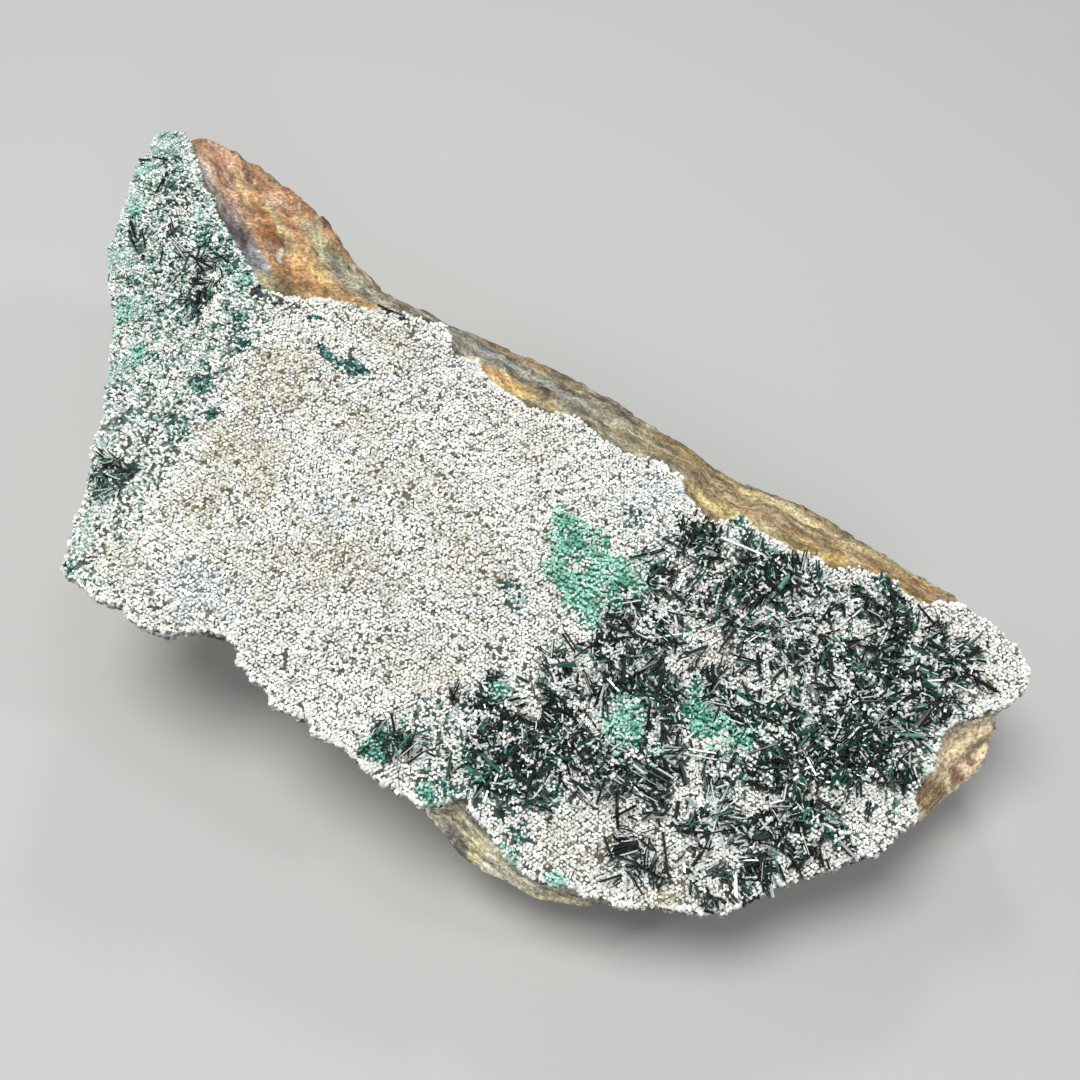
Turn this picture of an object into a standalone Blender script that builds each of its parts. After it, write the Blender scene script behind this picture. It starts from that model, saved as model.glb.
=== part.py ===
# An epidote specimen: a wedge of foliated, iron-stained rock, the thin druse crust that covers its
# upper face, and the dark green prismatic crystals that grow on the crust.
# Lengths below are millimetres; MM turns them to metres when the meshes are made.

import itertools
import math
import random

import bpy
import numpy as np
from mathutils import Vector, geometry

MM = 0.001

# Middle of the specimen's box in plan, where the origin goes.
BOX_CENTRE = (-3.75, 2.56)

# The upper face: a tilted plane with a gentle swell, bent down along its left strip.
FACE_LEVEL = 34.7
FACE_SLOPE_X = -0.199
FACE_SLOPE_Y = 0.234
SWELL_HEIGHT = 0.72
SWELL_LENGTH_X = 9.0
SWELL_LENGTH_Y = 7.5
SWELL_PHASE_X = 0.6
SWELL_PHASE_Y = -0.4
BEND_POINT = (-49.5, 13.5)
BEND_NORMAL = (0.958, 0.288)
BEND_SLOPE = 0.25
BEND_SOFTNESS = 7.0

CRUST_THICKNESS = 2.5
CRUST_UNDERCUT = 0.10    # share of the outermost cells that the crust's broken edge leans in by
ROCK_INSET = 0.14        # share of the outermost cells that the rock keeps back from that edge
TOUCH_GAP = 0.3          # between the crust and the rock under it

# The crust's ragged outline in plan, as four edges. Front and back have 41 points, the ends 13.
FRONT_EDGE = [
    (-46.5, -39), (-41, -39.5), (-37, -39.5), (-34, -38.5), (-32.5, -39.5), (-28.5, -39),
    (-26.5, -38), (-23.5, -35.5), (-19.5, -34), (-16, -34), (-15.5, -36), (-12.5, -36),
    (-8.5, -36.5), (-7.5, -37.5), (-5, -37.5), (-2, -36.5), (0, -37.5), (3, -37), (7, -37.5),
    (10.5, -37.5), (15, -37.5), (18, -38), (20.5, -36), (23, -33.5), (25.5, -35.5), (29, -36.5),
    (32, -37.5), (34, -38), (38.5, -36.5), (42, -34.5), (46, -33.5), (50, -31.5), (55, -28.5),
    (58, -26.5), (60.5, -25.5), (61.5, -23), (64, -19), (67.5, -14.5), (72, -10), (75.5, -5.5),
    (77, 1)]
RIGHT_EDGE = [
    (77, 1), (75, 2.5), (75, 5), (76, 8.5), (75.5, 11), (75, 14), (76.5, 16.5), (79.5, 19.5),
    (81.5, 22.5), (82.5, 25.5), (82, 28.5), (79.5, 30.5), (76.5, 31.5)]
BACK_EDGE = [
    (-84.5, 34.5), (-77, 29.5), (-69.5, 24.5), (-63.5, 21), (-58, 18.5), (-53, 16), (-49.5, 14),
    (-46, 14.5), (-43.5, 16), (-40.5, 18), (-37, 19.5), (-33.5, 21), (-29.5, 22.5), (-25.5, 23.5),
    (-20.5, 25), (-16.5, 22), (-13, 23), (-11, 21.5), (-7, 21), (-2.5, 21.5), (1, 22.5),
    (4.5, 25), (9.5, 24), (15, 24), (17.5, 25), (21, 25.5), (24, 25), (25.5, 23.5), (29, 22),
    (31.5, 21), (35, 24.5), (40, 24), (43.5, 24.5), (47, 25.5), (50, 25.5), (54, 28.5),
    (59.5, 29.5), (65.5, 29), (66.5, 31), (70, 32), (76.5, 31.5)]
LEFT_EDGE = [
    (-46.5, -39), (-49.5, -34.5), (-52.5, -28), (-57, -21), (-59, -16), (-65.5, -7.5), (-70, -1),
    (-80, 7.5), (-84, 16), (-88, 24.5), (-90, 31.5), (-89.5, 34), (-84.5, 34.5)]

# The rock's girdle, its widest line: (station, x, y, z). Stations count the outline's points from
# the left corner, along the front, up the right end, back along the rear edge and down the left end.
GIRDLE = [
    (0, -42, -33, 25), (7, -23, -29.5, 21), (9, -17.5, -31.5, 22.5), (11, -12.5, -34.4, 24),
    (13, -8, -32.5, 20.5), (15, -2, -31.5, 18), (19, 10, -32.5, 16.5), (21, 16.5, -36, 15),
    (24, 24.5, -37.6, 13), (27, 33, -36.9, 11), (29, 41.5, -34, 10.4), (30, 44.5, -31, 10),
    (33, 54, -22.5, 9), (37, 64.5, -10.5, 10), (39, 71, -3.5, 12), (40, 77, 2.5, 13.5),
    (41, 77.8, 5, 13.2), (42, 79, 8, 12.9), (44, 81.3, 13, 13.4), (46, 82.3, 17.4, 14.5),
    (48, 81.6, 22.6, 17), (50, 80, 28.5, 18), (52, 76.5, 33.8, 20.5), (53, 70.5, 37, 21),
    (55, 65, 40.9, 19.5), (59, 47, 40, 22.7), (61, 40, 40.2, 24), (65, 26, 37.7, 26.3),
    (68, 19, 37.5, 27.6), (71, 6.5, 37.7, 30), (74, -6, 36.9, 32.5), (77, -15, 35.5, 34.2),
    (79, -25, 33.8, 36), (82, -38, 33, 37.8), (84, -47, 34.9, 40), (86, -55, 37.4, 42),
    (88, -66, 40, 42.8), (90, -78, 43, 43.2), (91, -83.5, 42, 45.2), (92, -86.8, 38.6, 48.2),
    (93, -87.4, 35.5, 46.5), (94, -86.5, 31.5, 44.5), (96, -80.5, 16.5, 38.5),
    (98, -66.5, 0.5, 33), (100, -55.5, -13.5, 29), (102, -49, -25, 26.5), (104, -42, -33, 25)]

# The outline of the flat base: (station, x, y).
FOOT = [
    (0, -38, -16), (7, -21, -20), (14, -4, -21.5), (20, 12, -22.5), (26, 31, -22), (31, 44, -15),
    (36, 55, -5), (42, 66, 7), (47, 70, 17), (52, 67, 27.5), (58, 48, 31.5), (66, 22, 30.5),
    (74, -6, 30.5), (80, -30, 28.5), (86, -50, 31), (90, -65, 33), (92, -72, 31), (96, -69, 20),
    (100, -55, 1), (104, -38, -16)]

SHOULDER_STEPS = (0.34, 0.68, 1.0)   # rings from under the crust out to the girdle
SHOULDER_CROWN = 1.25                # above 1 the shoulder falls away slowly at first
SKIRT_STEPS = (0.16, 0.34, 0.54, 0.76)   # rings from the girdle down to the base
SKIRT_BELLY = 1.35                   # above 1 the skirt stays wide before it turns in
LUMP_DEPTH = 2.2
LUMP_SIZE = 15.0
CHIP_DEPTH = 1.1
CHIP_SIZE = 6.0
LEDGE_DEPTH = 2.0
LEDGE_SPACING = 7.0
LEDGE_WANDER = 0.5                   # share of the spacing by which a ledge rises and falls
LEDGE_REACH = 32.0
FOLIA_NORMAL = (0.20, -0.10, 1.0)    # the folia lie nearly parallel to the upper face

# Crystals: six-sided prisms with a slanting end face, standing in a felted mat of the same mineral.
CRYSTAL_SIDES = 6
CRYSTAL_FLATNESS = 0.75
END_SLANT = 0.9
MAT_GAP = 0.45           # from the crust, whose swell is made of flat facets
MAT_THICKNESS = 1.9
MAT_EDGE = 0.7
MAT_CELL = 6.5
MAT_LUMP = 0.4
MAT_LUMP_SIZE = 5.0
ROOT_CLEARANCE = 0.25    # from the mat's underside to a crystal's lowest corner
ROOT_MARGIN = 1.2        # roots keep this far inside the mat's outline
TIP_MARGIN = 2.0         # tips reach no further than this beyond it
SPRAY_SPREAD = math.radians(75)

# One row for each patch of crystals: outline in plan, number of sprays, crystals in a spray,
# lengths, widths, steepness in degrees and the seed of its random draw.
PATCHES = {
    "epidote_field": {
        "outline": [(21, -27), (27, -28), (32, -27), (38, -24), (46, -21), (52, -23), (58, -21),
                    (63, -14), (69, -6), (72, -1), (73, 8), (72, 15), (76, 22), (72, 26.5),
                    (61, 25), (51, 22.5), (39, 21.5), (31, 18), (28, 12), (31, 3), (31, -1),
                    (28, -5), (25, -11), (19, -16), (16, -22)],
        "sprays": 44, "in_spray": 2, "length": (4.6, 7.6), "width": (0.9, 1.4),
        "steepness": (15, 42), "seed": 11},
    "epidote_spray_south": {
        "outline": [(41, -29), (46, -31), (50, -29.5), (52, -27.5), (48, -26.5), (43, -26.5)],
        "sprays": 4, "in_spray": 2, "length": (4.0, 5.6), "width": (0.9, 1.2),
        "steepness": (20, 45), "seed": 5},
    "epidote_tuft_front": {
        "outline": [(6, -34), (8, -36), (11.5, -35.5), (13, -33), (11, -30.5), (8, -31)],
        "sprays": 3, "in_spray": 2, "length": (2.6, 3.8), "width": (0.9, 1.1),
        "steepness": (18, 40), "seed": 3},
    "epidote_patch_apex": {
        "outline": [(-68, 15), (-65, 10), (-60, 6), (-55, 4), (-53, 8), (-56, 13), (-60, 16),
                    (-65, 18)],
        "sprays": 5, "in_spray": 2, "length": (3.4, 5.4), "width": (0.9, 1.3),
        "steepness": (16, 30), "seed": 8},
    "epidote_patch_left": {
        "outline": [(-56, -20), (-54, -25), (-50, -27), (-46, -25), (-47, -20.5), (-52, -18)],
        "sprays": 4, "in_spray": 2, "length": (3.0, 4.6), "width": (0.9, 1.2),
        "steepness": (16, 35), "seed": 2},
}

# Colour and roughness of each material.
MATERIALS = {
    "foliated_rock": ((0.36, 0.24, 0.12), 0.85),
    "quartz_druse": ((0.62, 0.62, 0.56), 0.45),
    "epidote_crystal": ((0.01, 0.06, 0.045), 0.2),
}


def clear_scene():
    for thing in list(bpy.data.objects):
        bpy.data.objects.remove(thing, do_unlink=True)


def make_material(name):
    colour, roughness = MATERIALS[name]
    material = bpy.data.materials.new(name)
    material.use_nodes = True
    shader = material.node_tree.nodes["Principled BSDF"]
    shader.inputs["Base Color"].default_value = (*colour, 1.0)
    shader.inputs["Roughness"].default_value = roughness
    shader.inputs["Metallic"].default_value = 0.0
    return material


def add_object(name, points, faces, material):
    mesh = bpy.data.meshes.new(name)
    centred = np.array(points, float) - (*BOX_CENTRE, 0.0)
    mesh.from_pydata([tuple(p) for p in centred * MM], [], faces)
    mesh.update()
    thing = bpy.data.objects.new(name, mesh)
    thing.data.materials.append(material)
    bpy.context.scene.collection.objects.link(thing)
    return thing


def face_height(x, y):
    # Height of the crust's top: plane, minus the bend of the left strip, plus the swell.
    beyond = -(BEND_NORMAL[0] * (x - BEND_POINT[0]) + BEND_NORMAL[1] * (y - BEND_POINT[1]))
    rounded = (beyond + BEND_SOFTNESS) ** 2 / (4 * BEND_SOFTNESS)
    bent = np.where(beyond < -BEND_SOFTNESS, 0.0, np.where(beyond > BEND_SOFTNESS, beyond, rounded))
    swell = (np.sin(x / SWELL_LENGTH_X + SWELL_PHASE_X)
             * np.cos(y / SWELL_LENGTH_Y + SWELL_PHASE_Y))
    return FACE_LEVEL + FACE_SLOPE_X * x + FACE_SLOPE_Y * y - BEND_SLOPE * bent + SWELL_HEIGHT * swell


def on_face(plan, height):
    # Points in plan, lifted to a height above the crust's top.
    levels = face_height(plan[..., 0], plan[..., 1]) + height
    return np.concatenate([plan, levels[..., None]], axis=-1)


def outline_grid():
    # A Coons patch: both pairs of opposite edges are blended across, less the blend of the corners.
    front, back = np.array(FRONT_EDGE, float), np.array(BACK_EDGE, float)
    left, right = np.array(LEFT_EDGE, float), np.array(RIGHT_EDGE, float)
    u = np.linspace(0, 1, len(front))[:, None, None]
    v = np.linspace(0, 1, len(left))[None, :, None]
    between_front_and_back = (1 - v) * front[:, None, :] + v * back[:, None, :]
    between_left_and_right = (1 - u) * left[None, :, :] + u * right[None, :, :]
    corners = ((1 - u) * ((1 - v) * front[0] + v * back[0])
               + u * ((1 - v) * front[-1] + v * back[-1]))
    return between_front_and_back + between_left_and_right - corners


def pull_in(grid, share):
    # Moves the outermost row and column of points towards the next ones.
    inner = grid.copy()
    inner[:, 0] += share * (grid[:, 1] - grid[:, 0])
    inner[:, -1] += share * (grid[:, -2] - grid[:, -1])
    inner[0] += share * (grid[1] - grid[0])
    inner[-1] += share * (grid[-2] - grid[-1])
    return inner


def border_indices(columns, rows):
    # Index of each outline point in a grid, in the order of the stations.
    front = [i * rows for i in range(columns)]
    right = [(columns - 1) * rows + j for j in range(1, rows)]
    back = [i * rows + rows - 1 for i in range(columns - 2, -1, -1)]
    left = list(range(rows - 2, 0, -1))
    return front + right + back + left


def grid_triangles(columns, rows):
    triangles = []
    for i in range(columns - 1):
        for j in range(rows - 1):
            corner = i * rows + j
            triangles.append((corner, corner + rows, corner + rows + 1))
            triangles.append((corner, corner + rows + 1, corner + 1))
    return triangles


def turned_over(triangles, start):
    return [tuple(start + index for index in reversed(triangle)) for triangle in triangles]


def band(upper, lower):
    # Triangles between two closed rows of points that run anticlockwise seen from above.
    triangles = []
    for k in range(len(upper)):
        after = (k + 1) % len(upper)
        triangles.append((upper[k], lower[k], lower[after]))
        triangles.append((upper[k], lower[after], upper[after]))
    return triangles


def plate(top, under, triangles, border):
    # Closes a sheet of triangles with a second one under it and a wall round its border.
    faces = triangles + turned_over(triangles, len(top))
    faces += band(border, [len(top) + k for k in border])
    return np.concatenate([top, under]), faces


def make_crust(material):
    plan = outline_grid()
    columns, rows = plan.shape[:2]
    top = on_face(plan, 0.0).reshape(-1, 3)
    under = on_face(pull_in(plan, CRUST_UNDERCUT), -CRUST_THICKNESS).reshape(-1, 3)
    points, faces = plate(top, under, grid_triangles(columns, rows), border_indices(columns, rows))
    add_object("druse_crust", points, faces, material)


def line_at_stations(anchors, count):
    table = np.array(anchors, float)
    return np.stack([np.interp(np.arange(count), table[:, 0], table[:, column])
                     for column in range(1, table.shape[1])], axis=1)


def lattice_value(cell, seed):
    # A fixed value from -1 to 1 for each point of a whole-numbered lattice.
    mixed = (cell[:, 0] * 73856093) ^ (cell[:, 1] * 19349663) ^ (cell[:, 2] * 83492791)
    mixed = (mixed ^ (seed * 26544357)) & 0xFFFFFFF
    mixed = ((mixed ^ (mixed >> 13)) * 12741261) & 0xFFFFFFFF
    return ((mixed ^ (mixed >> 15)) & 0xFFFF) / 32767.5 - 1


def value_noise(points, cell_size, seed):
    # Smooth noise from -1 to 1: the lattice's values, blended with a smooth step.
    scaled = np.asarray(points, float) / cell_size
    corner = np.floor(scaled).astype(np.int64)
    share = scaled - corner
    share = share * share * (3 - 2 * share)
    total = np.zeros(len(scaled))
    for step in itertools.product((0, 1), repeat=3):
        weight = np.prod(np.where(step, share, 1 - share), axis=1)
        total += weight * lattice_value(corner + step, seed)
    return total


def roughen(ring, outward, strength):
    # Lumps and chips from smooth noise, and ledges where the rock's folia come to the surface.
    lump = LUMP_DEPTH * value_noise(ring, LUMP_SIZE, 1)
    chip = CHIP_DEPTH * value_noise(ring, CHIP_SIZE, 2)
    folium = (ring @ FOLIA_NORMAL) / LEDGE_SPACING + LEDGE_WANDER * value_noise(ring, LEDGE_REACH, 3)
    ledge = LEDGE_DEPTH * (folium % 1.0 - 0.5)
    rough = ring.copy()
    rough[:, :2] += strength * outward * (lump + chip + ledge)[:, None]
    rough[:, 2] += strength * 0.5 * (lump - chip)
    return rough


def make_rock(material):
    plan = outline_grid()
    columns, rows = plan.shape[:2]
    top = on_face(pull_in(plan, ROCK_INSET), -CRUST_THICKNESS - TOUCH_GAP).reshape(-1, 3)
    border = border_indices(columns, rows)
    brow = top[border]
    girdle = line_at_stations(GIRDLE, len(border))
    foot = np.column_stack([line_at_stations(FOOT, len(border)), np.zeros(len(border))])

    chord = np.roll(girdle, -1, axis=0) - np.roll(girdle, 1, axis=0)
    outward = np.column_stack([chord[:, 1], -chord[:, 0]])
    outward /= np.linalg.norm(outward, axis=1)[:, None]

    rings = []
    for step in SHOULDER_STEPS:
        ring = brow + (girdle - brow) * step
        ring[:, 2] = brow[:, 2] + (girdle[:, 2] - brow[:, 2]) * step ** SHOULDER_CROWN
        rings.append(roughen(ring, outward, 0.5 * step))
    for step in SKIRT_STEPS:
        ring = girdle + (foot - girdle) * step ** SKIRT_BELLY
        ring[:, 2] = girdle[:, 2] * (1 - step)
        rings.append(roughen(ring, outward, 1.0))
    rings.append(foot)

    faces = grid_triangles(columns, rows)
    above, start = border, len(top)
    for ring in rings:
        below = list(range(start, start + len(ring)))
        faces += band(above, below)
        above, start = below, start + len(ring)
    faces.append(tuple(reversed(above)))
    add_object("matrix_rock", np.concatenate([top] + rings), faces, material)


def inside(point, outline):
    # Even-odd rule: a ray to the right crosses the outline an odd number of times.
    crossings = 0
    for (ax, ay), (bx, by) in zip(outline, outline[1:] + outline[:1]):
        if (ay > point[1]) != (by > point[1]):
            crossings += point[0] < ax + (point[1] - ay) * (bx - ax) / (by - ay)
    return crossings % 2 == 1


def edge_distance(point, outline):
    nearest = math.inf
    for start, end in zip(outline, outline[1:] + outline[:1]):
        start, end, here = Vector(start), Vector(end), Vector(point)
        share = max(0.0, min(1.0, (here - start).dot(end - start) / (end - start).length_squared))
        nearest = min(nearest, (start + (end - start) * share - here).length)
    return nearest


def make_mat(name, outline, material):
    # Filled outline with points inside it, thick in the middle and thin at its edge.
    inner = []
    low = [min(p[axis] for p in outline) for axis in (0, 1)]
    high = [max(p[axis] for p in outline) for axis in (0, 1)]
    for row, y in enumerate(np.arange(low[1], high[1], MAT_CELL * 0.87)):
        for x in np.arange(low[0] + (row % 2) * MAT_CELL / 2, high[0], MAT_CELL):
            if inside((x, y), outline) and edge_distance((x, y), outline) > MAT_CELL * 0.3:
                inner.append((float(x), float(y)))
    corners = [Vector(p) for p in outline + inner]
    plan, _, triangles, _, _, _ = geometry.delaunay_2d_cdt(
        corners, [], [list(range(len(outline)))], 1, 1e-5)
    plan = np.array([tuple(p) for p in plan])
    lumps = MAT_LUMP * value_noise(on_face(plan, 0.0), MAT_LUMP_SIZE, 4)
    on_edge = np.array([edge_distance(p, outline) < 0.1 for p in plan])
    top = on_face(plan, MAT_GAP)
    top[:, 2] += np.where(on_edge, MAT_EDGE, MAT_THICKNESS + lumps)
    points, faces = plate(top, on_face(plan, MAT_GAP), [tuple(t) for t in triangles],
                          list(range(len(outline))))
    return add_object(name, points, faces, material)


def face_axes():
    # Two directions along the upper face and the one out of it.
    out = Vector((-FACE_SLOPE_X, -FACE_SLOPE_Y, 1)).normalized()
    along = Vector((1, 0, FACE_SLOPE_X)).normalized()
    return along, out.cross(along), out


def crystal(root, azimuth, elevation, length, width, turn):
    # A prism of six flat sides from its root to a slanting end.
    along, across, out = face_axes()
    flat = along * math.cos(azimuth) + across * math.sin(azimuth)
    axis = flat * math.cos(elevation) + out * math.sin(elevation)
    side = axis.cross(out).normalized()
    back = side.cross(axis)
    wide = side * math.cos(turn) + back * math.sin(turn)
    narrow = back * math.cos(turn) - side * math.sin(turn)
    low, high = [], []
    for k in range(CRYSTAL_SIDES):
        angle = 2 * math.pi * k / CRYSTAL_SIDES
        across_width = 0.5 * width * math.cos(angle)
        offset = wide * across_width + narrow * (0.5 * width * CRYSTAL_FLATNESS * math.sin(angle))
        low.append(root + offset)
        high.append(root + offset + axis * (length + END_SLANT * across_width))
    return low, high


def spray_roots(draw, outline, count):
    # Roots spread evenly: each new one is the best of several tries, furthest from the others.
    roots = []
    low = [min(p[axis] for p in outline) for axis in (0, 1)]
    high = [max(p[axis] for p in outline) for axis in (0, 1)]
    while len(roots) < count:
        tries = []
        while len(tries) < 8:
            place = (draw.uniform(low[0], high[0]), draw.uniform(low[1], high[1]))
            if inside(place, outline) and edge_distance(place, outline) > ROOT_MARGIN:
                tries.append(place)
        roots.append(max(tries, key=lambda p: min((math.dist(p, r) for r in roots), default=0.0)))
    return roots


def stays_over(tip, outline):
    place = (tip[0], tip[1])
    return inside(place, outline) or edge_distance(place, outline) < TIP_MARGIN


def make_crystals(name, patch, material):
    draw = random.Random(patch["seed"])
    points, faces = [], []
    for x, y in spray_roots(draw, patch["outline"], patch["sprays"]):
        heading = draw.uniform(0, 2 * math.pi)
        for member in range(patch["in_spray"]):
            length = draw.uniform(*patch["length"])
            width = draw.uniform(*patch["width"])
            elevation = math.radians(draw.uniform(*patch["steepness"]))
            azimuth = heading + member * SPRAY_SPREAD * draw.uniform(0.6, 1.4)
            turn = draw.uniform(0, math.pi)
            height = float(face_height(x, y)) + MAT_GAP + ROOT_CLEARANCE + 0.5 * width
            root = Vector((x, y, height))
            low, high = crystal(root, azimuth, elevation, length, width, turn)
            if not stays_over(high[0], patch["outline"]):
                low, high = crystal(root, azimuth + math.pi, elevation, length, width, turn)
            if not stays_over(high[0], patch["outline"]):
                continue
            first = len(points)
            points += low + high
            ring = range(CRYSTAL_SIDES)
            faces += [(first + k, first + (k + 1) % CRYSTAL_SIDES,
                       first + CRYSTAL_SIDES + (k + 1) % CRYSTAL_SIDES, first + CRYSTAL_SIDES + k)
                      for k in ring]
            faces.append(tuple(first + k for k in reversed(ring)))
            faces.append(tuple(first + CRYSTAL_SIDES + k for k in ring))
    loose = add_object(name + "_loose", [tuple(p) for p in points], faces, material)
    loose.hide_render = True
    loose.display_type = "WIRE"
    return loose


def make_patch(name, patch, material):
    # The mat and its crystals, grown together in one solid.
    mat = make_mat(name, patch["outline"], material)
    join = mat.modifiers.new("grown_together", "BOOLEAN")
    join.operation = "UNION"
    join.solver = "EXACT"
    join.use_self = True
    join.object = make_crystals(name, patch, material)


def main():
    clear_scene()
    stone = make_material("foliated_rock")
    druse = make_material("quartz_druse")
    epidote = make_material("epidote_crystal")
    make_rock(stone)
    make_crust(druse)
    for name, patch in PATCHES.items():
        make_patch(name, patch, epidote)


main()
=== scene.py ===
import itertools
import math

import bpy
import numpy as np
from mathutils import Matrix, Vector


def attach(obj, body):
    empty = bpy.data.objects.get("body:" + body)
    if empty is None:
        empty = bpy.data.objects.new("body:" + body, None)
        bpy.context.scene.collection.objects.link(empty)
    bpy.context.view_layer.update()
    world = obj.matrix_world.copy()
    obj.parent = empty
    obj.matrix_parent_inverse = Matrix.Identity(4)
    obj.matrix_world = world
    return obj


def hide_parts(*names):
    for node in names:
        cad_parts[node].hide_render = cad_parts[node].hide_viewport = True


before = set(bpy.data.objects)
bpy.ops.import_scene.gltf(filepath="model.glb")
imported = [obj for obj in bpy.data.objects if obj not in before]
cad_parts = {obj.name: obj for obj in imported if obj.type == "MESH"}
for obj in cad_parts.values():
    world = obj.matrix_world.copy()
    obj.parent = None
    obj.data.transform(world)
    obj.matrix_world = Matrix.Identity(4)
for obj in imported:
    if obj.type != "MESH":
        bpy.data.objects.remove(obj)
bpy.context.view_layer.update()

# An epidote specimen: foliated, iron-stained rock, a druse of tiny white crystals over its upper
# face, and dark green epidote needles grown on the druse.
# All the shapes below are worked out in millimetres, in plan as seen from above; toMetres centres
# them on the middle of the specimen's box and turns them to Blender's metres.
specimen = {"centre": (-3.75, 2.56, 0.0), "metre": 0.001, "body": "root"}

# The upper face: a tilted plane with a gentle swell, bent down along its left strip.
face = {
    "level": 34.7, "slopeX": -0.199, "slopeY": 0.234,
    "swell": 0.72, "swellLengthX": 9.0, "swellLengthY": 7.5, "swellPhaseX": 0.6, "swellPhaseY": -0.4,
    "bendPoint": (-49.5, 13.5), "bendNormal": (0.958, 0.288), "bendSlope": 0.25, "bendSoftness": 7.0}

# The crust's ragged outline in plan, as four edges. Front and back have 41 points, the ends 13.
outline = {
    "front": [
        (-46.5, -39), (-41, -39.5), (-37, -39.5), (-34, -38.5), (-32.5, -39.5), (-28.5, -39),
        (-26.5, -38), (-23.5, -35.5), (-19.5, -34), (-16, -34), (-15.5, -36), (-12.5, -36),
        (-8.5, -36.5), (-7.5, -37.5), (-5, -37.5), (-2, -36.5), (0, -37.5), (3, -37), (7, -37.5),
        (10.5, -37.5), (15, -37.2), (18, -37.4), (20.5, -35), (23, -32.6), (25.5, -34.2), (29, -35),
        (32, -36), (34, -36.4), (38.5, -35.3), (42, -34), (46, -33.3), (50, -31.5), (55, -28.5),
        (58, -26.5), (60.5, -25.5), (61.5, -23), (64, -19), (67.5, -14.5), (72, -10), (75.5, -5.5),
        (77, 1)],
    "right": [
        (77, 1), (75, 2.5), (75, 5), (76, 8.5), (75.5, 11), (75, 14), (76.5, 16.5), (79.5, 19.5),
        (81.5, 22.5), (82.5, 25.5), (82, 28.5), (79.5, 30.5), (76.5, 31.5)],
    "back": [
        (-84.5, 34.5), (-77, 29.5), (-69.5, 24.5), (-63.5, 21), (-58, 18.5), (-53, 16), (-49.5, 14),
        (-46, 14.5), (-43.5, 16), (-40.5, 18), (-37, 19.5), (-33.5, 21), (-29.5, 22.5), (-25.5, 23.5),
        (-20.5, 25), (-16.5, 22), (-13, 23), (-11, 21.5), (-7, 21), (-2.5, 21.5), (1, 22.5),
        (4.5, 25), (9.5, 24), (15, 24), (17.5, 25), (21, 25.5), (24, 25), (25.5, 23.5), (29, 22),
        (31.5, 21), (35, 24.5), (40, 24), (43.5, 24.5), (47, 25.5), (50, 25.5), (54, 28.5),
        (59.5, 29.5), (65.5, 29), (66.5, 31), (70, 32), (76.5, 31.5)],
    "left": [
        (-46.5, -39), (-49.5, -34.5), (-52.5, -28), (-57, -21), (-59, -16), (-65.5, -7.5), (-70, -1),
        (-80, 7.5), (-84, 16), (-88, 24.5), (-90, 31.5), (-89.5, 34), (-84.5, 34.5)]}


def toMetres(points):
    return (np.asarray(points, float) - specimen["centre"]) * specimen["metre"]


# Numbers from -1 to 1 that stay the same each run: one for each point of a whole-numbered lattice.
# Large primes, shifts and exclusive ors mix the point's three numbers with the seed.
def latticeValue(cell, seed):
    mixed = (cell[:, 0] * 73856093) ^ (cell[:, 1] * 19349663) ^ (cell[:, 2] * 83492791)
    mixed = (mixed ^ (seed * 26544357)) & 0xFFFFFFF
    mixed = ((mixed ^ (mixed >> 13)) * 12741261) & 0xFFFFFFFF
    return ((mixed ^ (mixed >> 15)) & 0xFFFF) / 32767.5 - 1


# Smooth noise: the lattice's values around a point, blended with a smooth step.
def valueNoise(points, cellSize, seed):
    scaled = np.asarray(points, float) / cellSize
    corner = np.floor(scaled).astype(np.int64)
    share = scaled - corner
    share = share * share * (3 - 2 * share)
    total = np.zeros(len(scaled))
    for step in itertools.product((0, 1), repeat=3):
        weight = np.prod(np.where(step, share, 1 - share), axis=1)
        total += weight * latticeValue(corner + step, seed)
    return total


# Noise on noise, each layer half as large and half as strong as the one before.
def roughNoise(points, cellSize, seed, layers):
    total = np.zeros(len(points))
    for layer in range(layers):
        total += valueNoise(points, cellSize / 2 ** layer, seed + layer) / 2 ** layer
    return total


# How far a chip's centre strays, as a share of its cell, and how far its facet stands up or down.
chips = {"offCentre": 0.4, "step": 0.4}


# Broken facets: each point takes the tilted plane of its nearest chip centre, so chips meet in steps.
def chipNoise(points, cellSize, seed):
    scaled = np.asarray(points, float) / cellSize
    home = np.floor(scaled).astype(np.int64)
    nearest = np.full(len(scaled), np.inf)
    height = np.zeros(len(scaled))
    for step in itertools.product((-1, 0, 1), repeat=3):
        cell = home + step
        offset = np.stack([latticeValue(cell, seed + k) for k in range(3)], axis=1)
        away = scaled - (cell + (chips["offCentre"] * offset + 0.5))
        distance = np.linalg.norm(away, axis=1)
        tilt = np.stack([latticeValue(cell, seed + 3 + k) for k in range(3)], axis=1)
        plane = chips["step"] * latticeValue(cell, seed + 6) + np.sum(tilt * away, axis=1)
        height = np.where(distance < nearest, plane, height)
        nearest = np.minimum(nearest, distance)
    return height


# How far a place lies beyond the line where the left strip bends down.
def beyondBend(x, y):
    across, along = face["bendNormal"]
    return -(across * (x - face["bendPoint"][0]) + along * (y - face["bendPoint"][1]))


# Height of the crust's top: the plane, less the bend, a parabola that runs into a straight slope,
# plus the swell, a sine times a cosine.
def faceHeight(x, y):
    beyond = beyondBend(x, y)
    soft = face["bendSoftness"]
    rounded = (beyond + soft) ** 2 / (4 * soft)
    bent = np.where(beyond < -soft, 0.0, np.where(beyond > soft, beyond, rounded))
    swell = (np.sin(x / face["swellLengthX"] + face["swellPhaseX"])
             * np.cos(y / face["swellLengthY"] + face["swellPhaseY"]))
    return (face["level"] + face["slopeX"] * x + face["slopeY"] * y
            - face["bendSlope"] * bent + face["swell"] * swell)


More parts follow.
